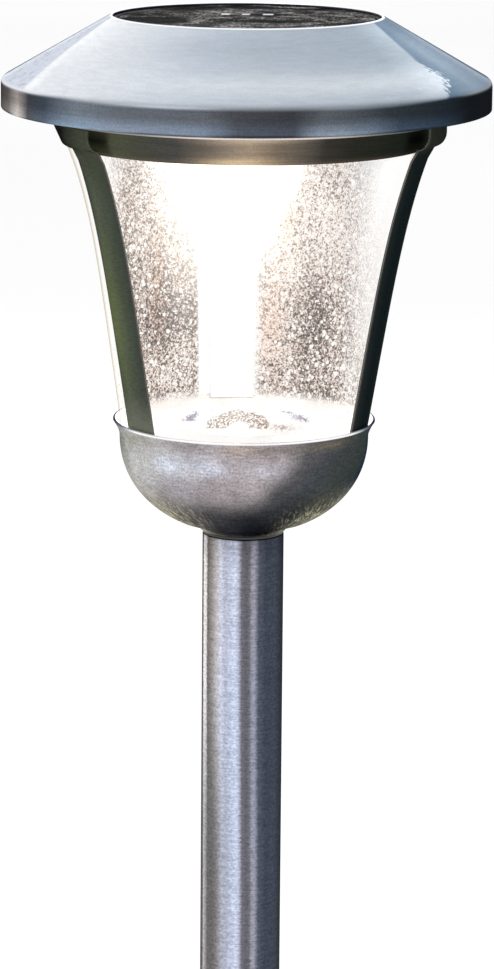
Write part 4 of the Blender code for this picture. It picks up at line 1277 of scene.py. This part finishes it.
def dress_cad_nodes():
    """Materials for the CAD nodes that stay."""
    black = plastic("black_abs", tone(34, 34, 36), 0.42)
    plain = {
        "board": circuit_green(),
        "zinc_screw": plain_metal("zinc", tone(176, 178, 184), 0.32),
        "contact": plain_metal("nickel", tone(204, 196, 180), 0.28),
        "black_plastic": black,
        "rubber": black,
        "silicone": black,
        "battery_jacket": battery_jacket(),
        "led_epoxy": led_light(),
        "reflector": plain_metal("bright_cup", tone(236, 236, 238), 0.2),
        "red_wire": plastic("red_wire", tone(170, 24, 22), 0.5, 0.12),
        "black_wire": plastic("black_wire", tone(28, 28, 30), 0.5, 0.12),
        "switch_nylon": plastic("white_nylon", tone(226, 226, 220), 0.45, 0.06),
        "stainless": plain_metal("stainless", tone(170, 172, 176), 0.3),
    }
    slots = {entry["node"]: entry["material_slot"] for entry in frame["record"]["subparts"]}
    for node, obj in frame["nodes"].items():
        if obj.hide_render or node.startswith("solar_cell"):
            continue
        coat(obj, plain[slots[node]])


# ---- stage


def build_floor():
    """Pale floor at the spike's tip."""
    half = 40.0
    corners = [(-half, -half, 0), (half, -half, 0), (half, half, 0), (-half, half, 0)]
    mesh = bpy.data.meshes.new("floor")
    mesh.from_pydata(corners, [], [(0, 1, 2, 3)])
    floor = linked("floor", mesh)
    mesh.materials.append(pale_floor())


def build_sky():
    world = bpy.data.worlds.new("studio")
    world.use_nodes = True
    sky = world.node_tree.nodes["Background"].inputs
    sky["Color"].default_value = (1.0, 1.0, 1.0, 1.0)
    sky["Strength"].default_value = 1.0
    bpy.context.scene.world = world


def build_lamps():
    """Soft lights aimed at the lantern."""
    for name, place, power in (
        ("key", (-1.3, -1.6, 1.9), 9.0),
        ("fill", (1.8, -1.2, 1.2), 3.0),
        ("back", (0.2, 2.0, 1.6), 4.0),
    ):
        lamp = bpy.data.lights.new(name, "AREA")
        lamp.shape = "DISK"
        lamp.size = 1.6
        lamp.energy = power
        obj = linked(name, lamp)
        obj.location = place
        aim = Vector((0, 0, BOWL.high * MM)) - Vector(place)
        obj.rotation_euler = aim.to_track_quat("-Z", "Y").to_euler()


def build_camera():
    """Long lens, a little above the cap, looking down at the head."""
    width = 2 * CAP.r * MM
    distance, rise = 8.173 * width, 0.795 * width
    pitch, roll = math.radians(-12.22), math.radians(0.45)
    data = bpy.data.cameras.new("camera")
    data.lens = 149.35
    data.sensor_width = 36.0
    data.clip_end = 200.0
    data.shift_x = 0.0036
    camera = linked("camera", data)
    camera.location = (0.0, -distance, CAP.high * MM + rise)
    look = Matrix.Rotation(math.pi / 2 + pitch, 4, "X") @ Matrix.Rotation(roll, 4, "Z")
    camera.rotation_euler = look.to_euler()
    bpy.context.scene.camera = camera


# ---- assembly

build_pole()
build_bowl()
build_dish()
build_lens()
build_collar()
strap_metal = strap_steel()
for strap in ("strap_left", "strap_right", "strap_rear"):
    build_strap(strap, strap_metal)
build_cap()
build_rings()
build_panel()
dress_cad_nodes()
build_floor()
build_sky()
build_lamps()
build_camera()

scene = bpy.context.scene
scene.view_settings.view_transform = "Standard"
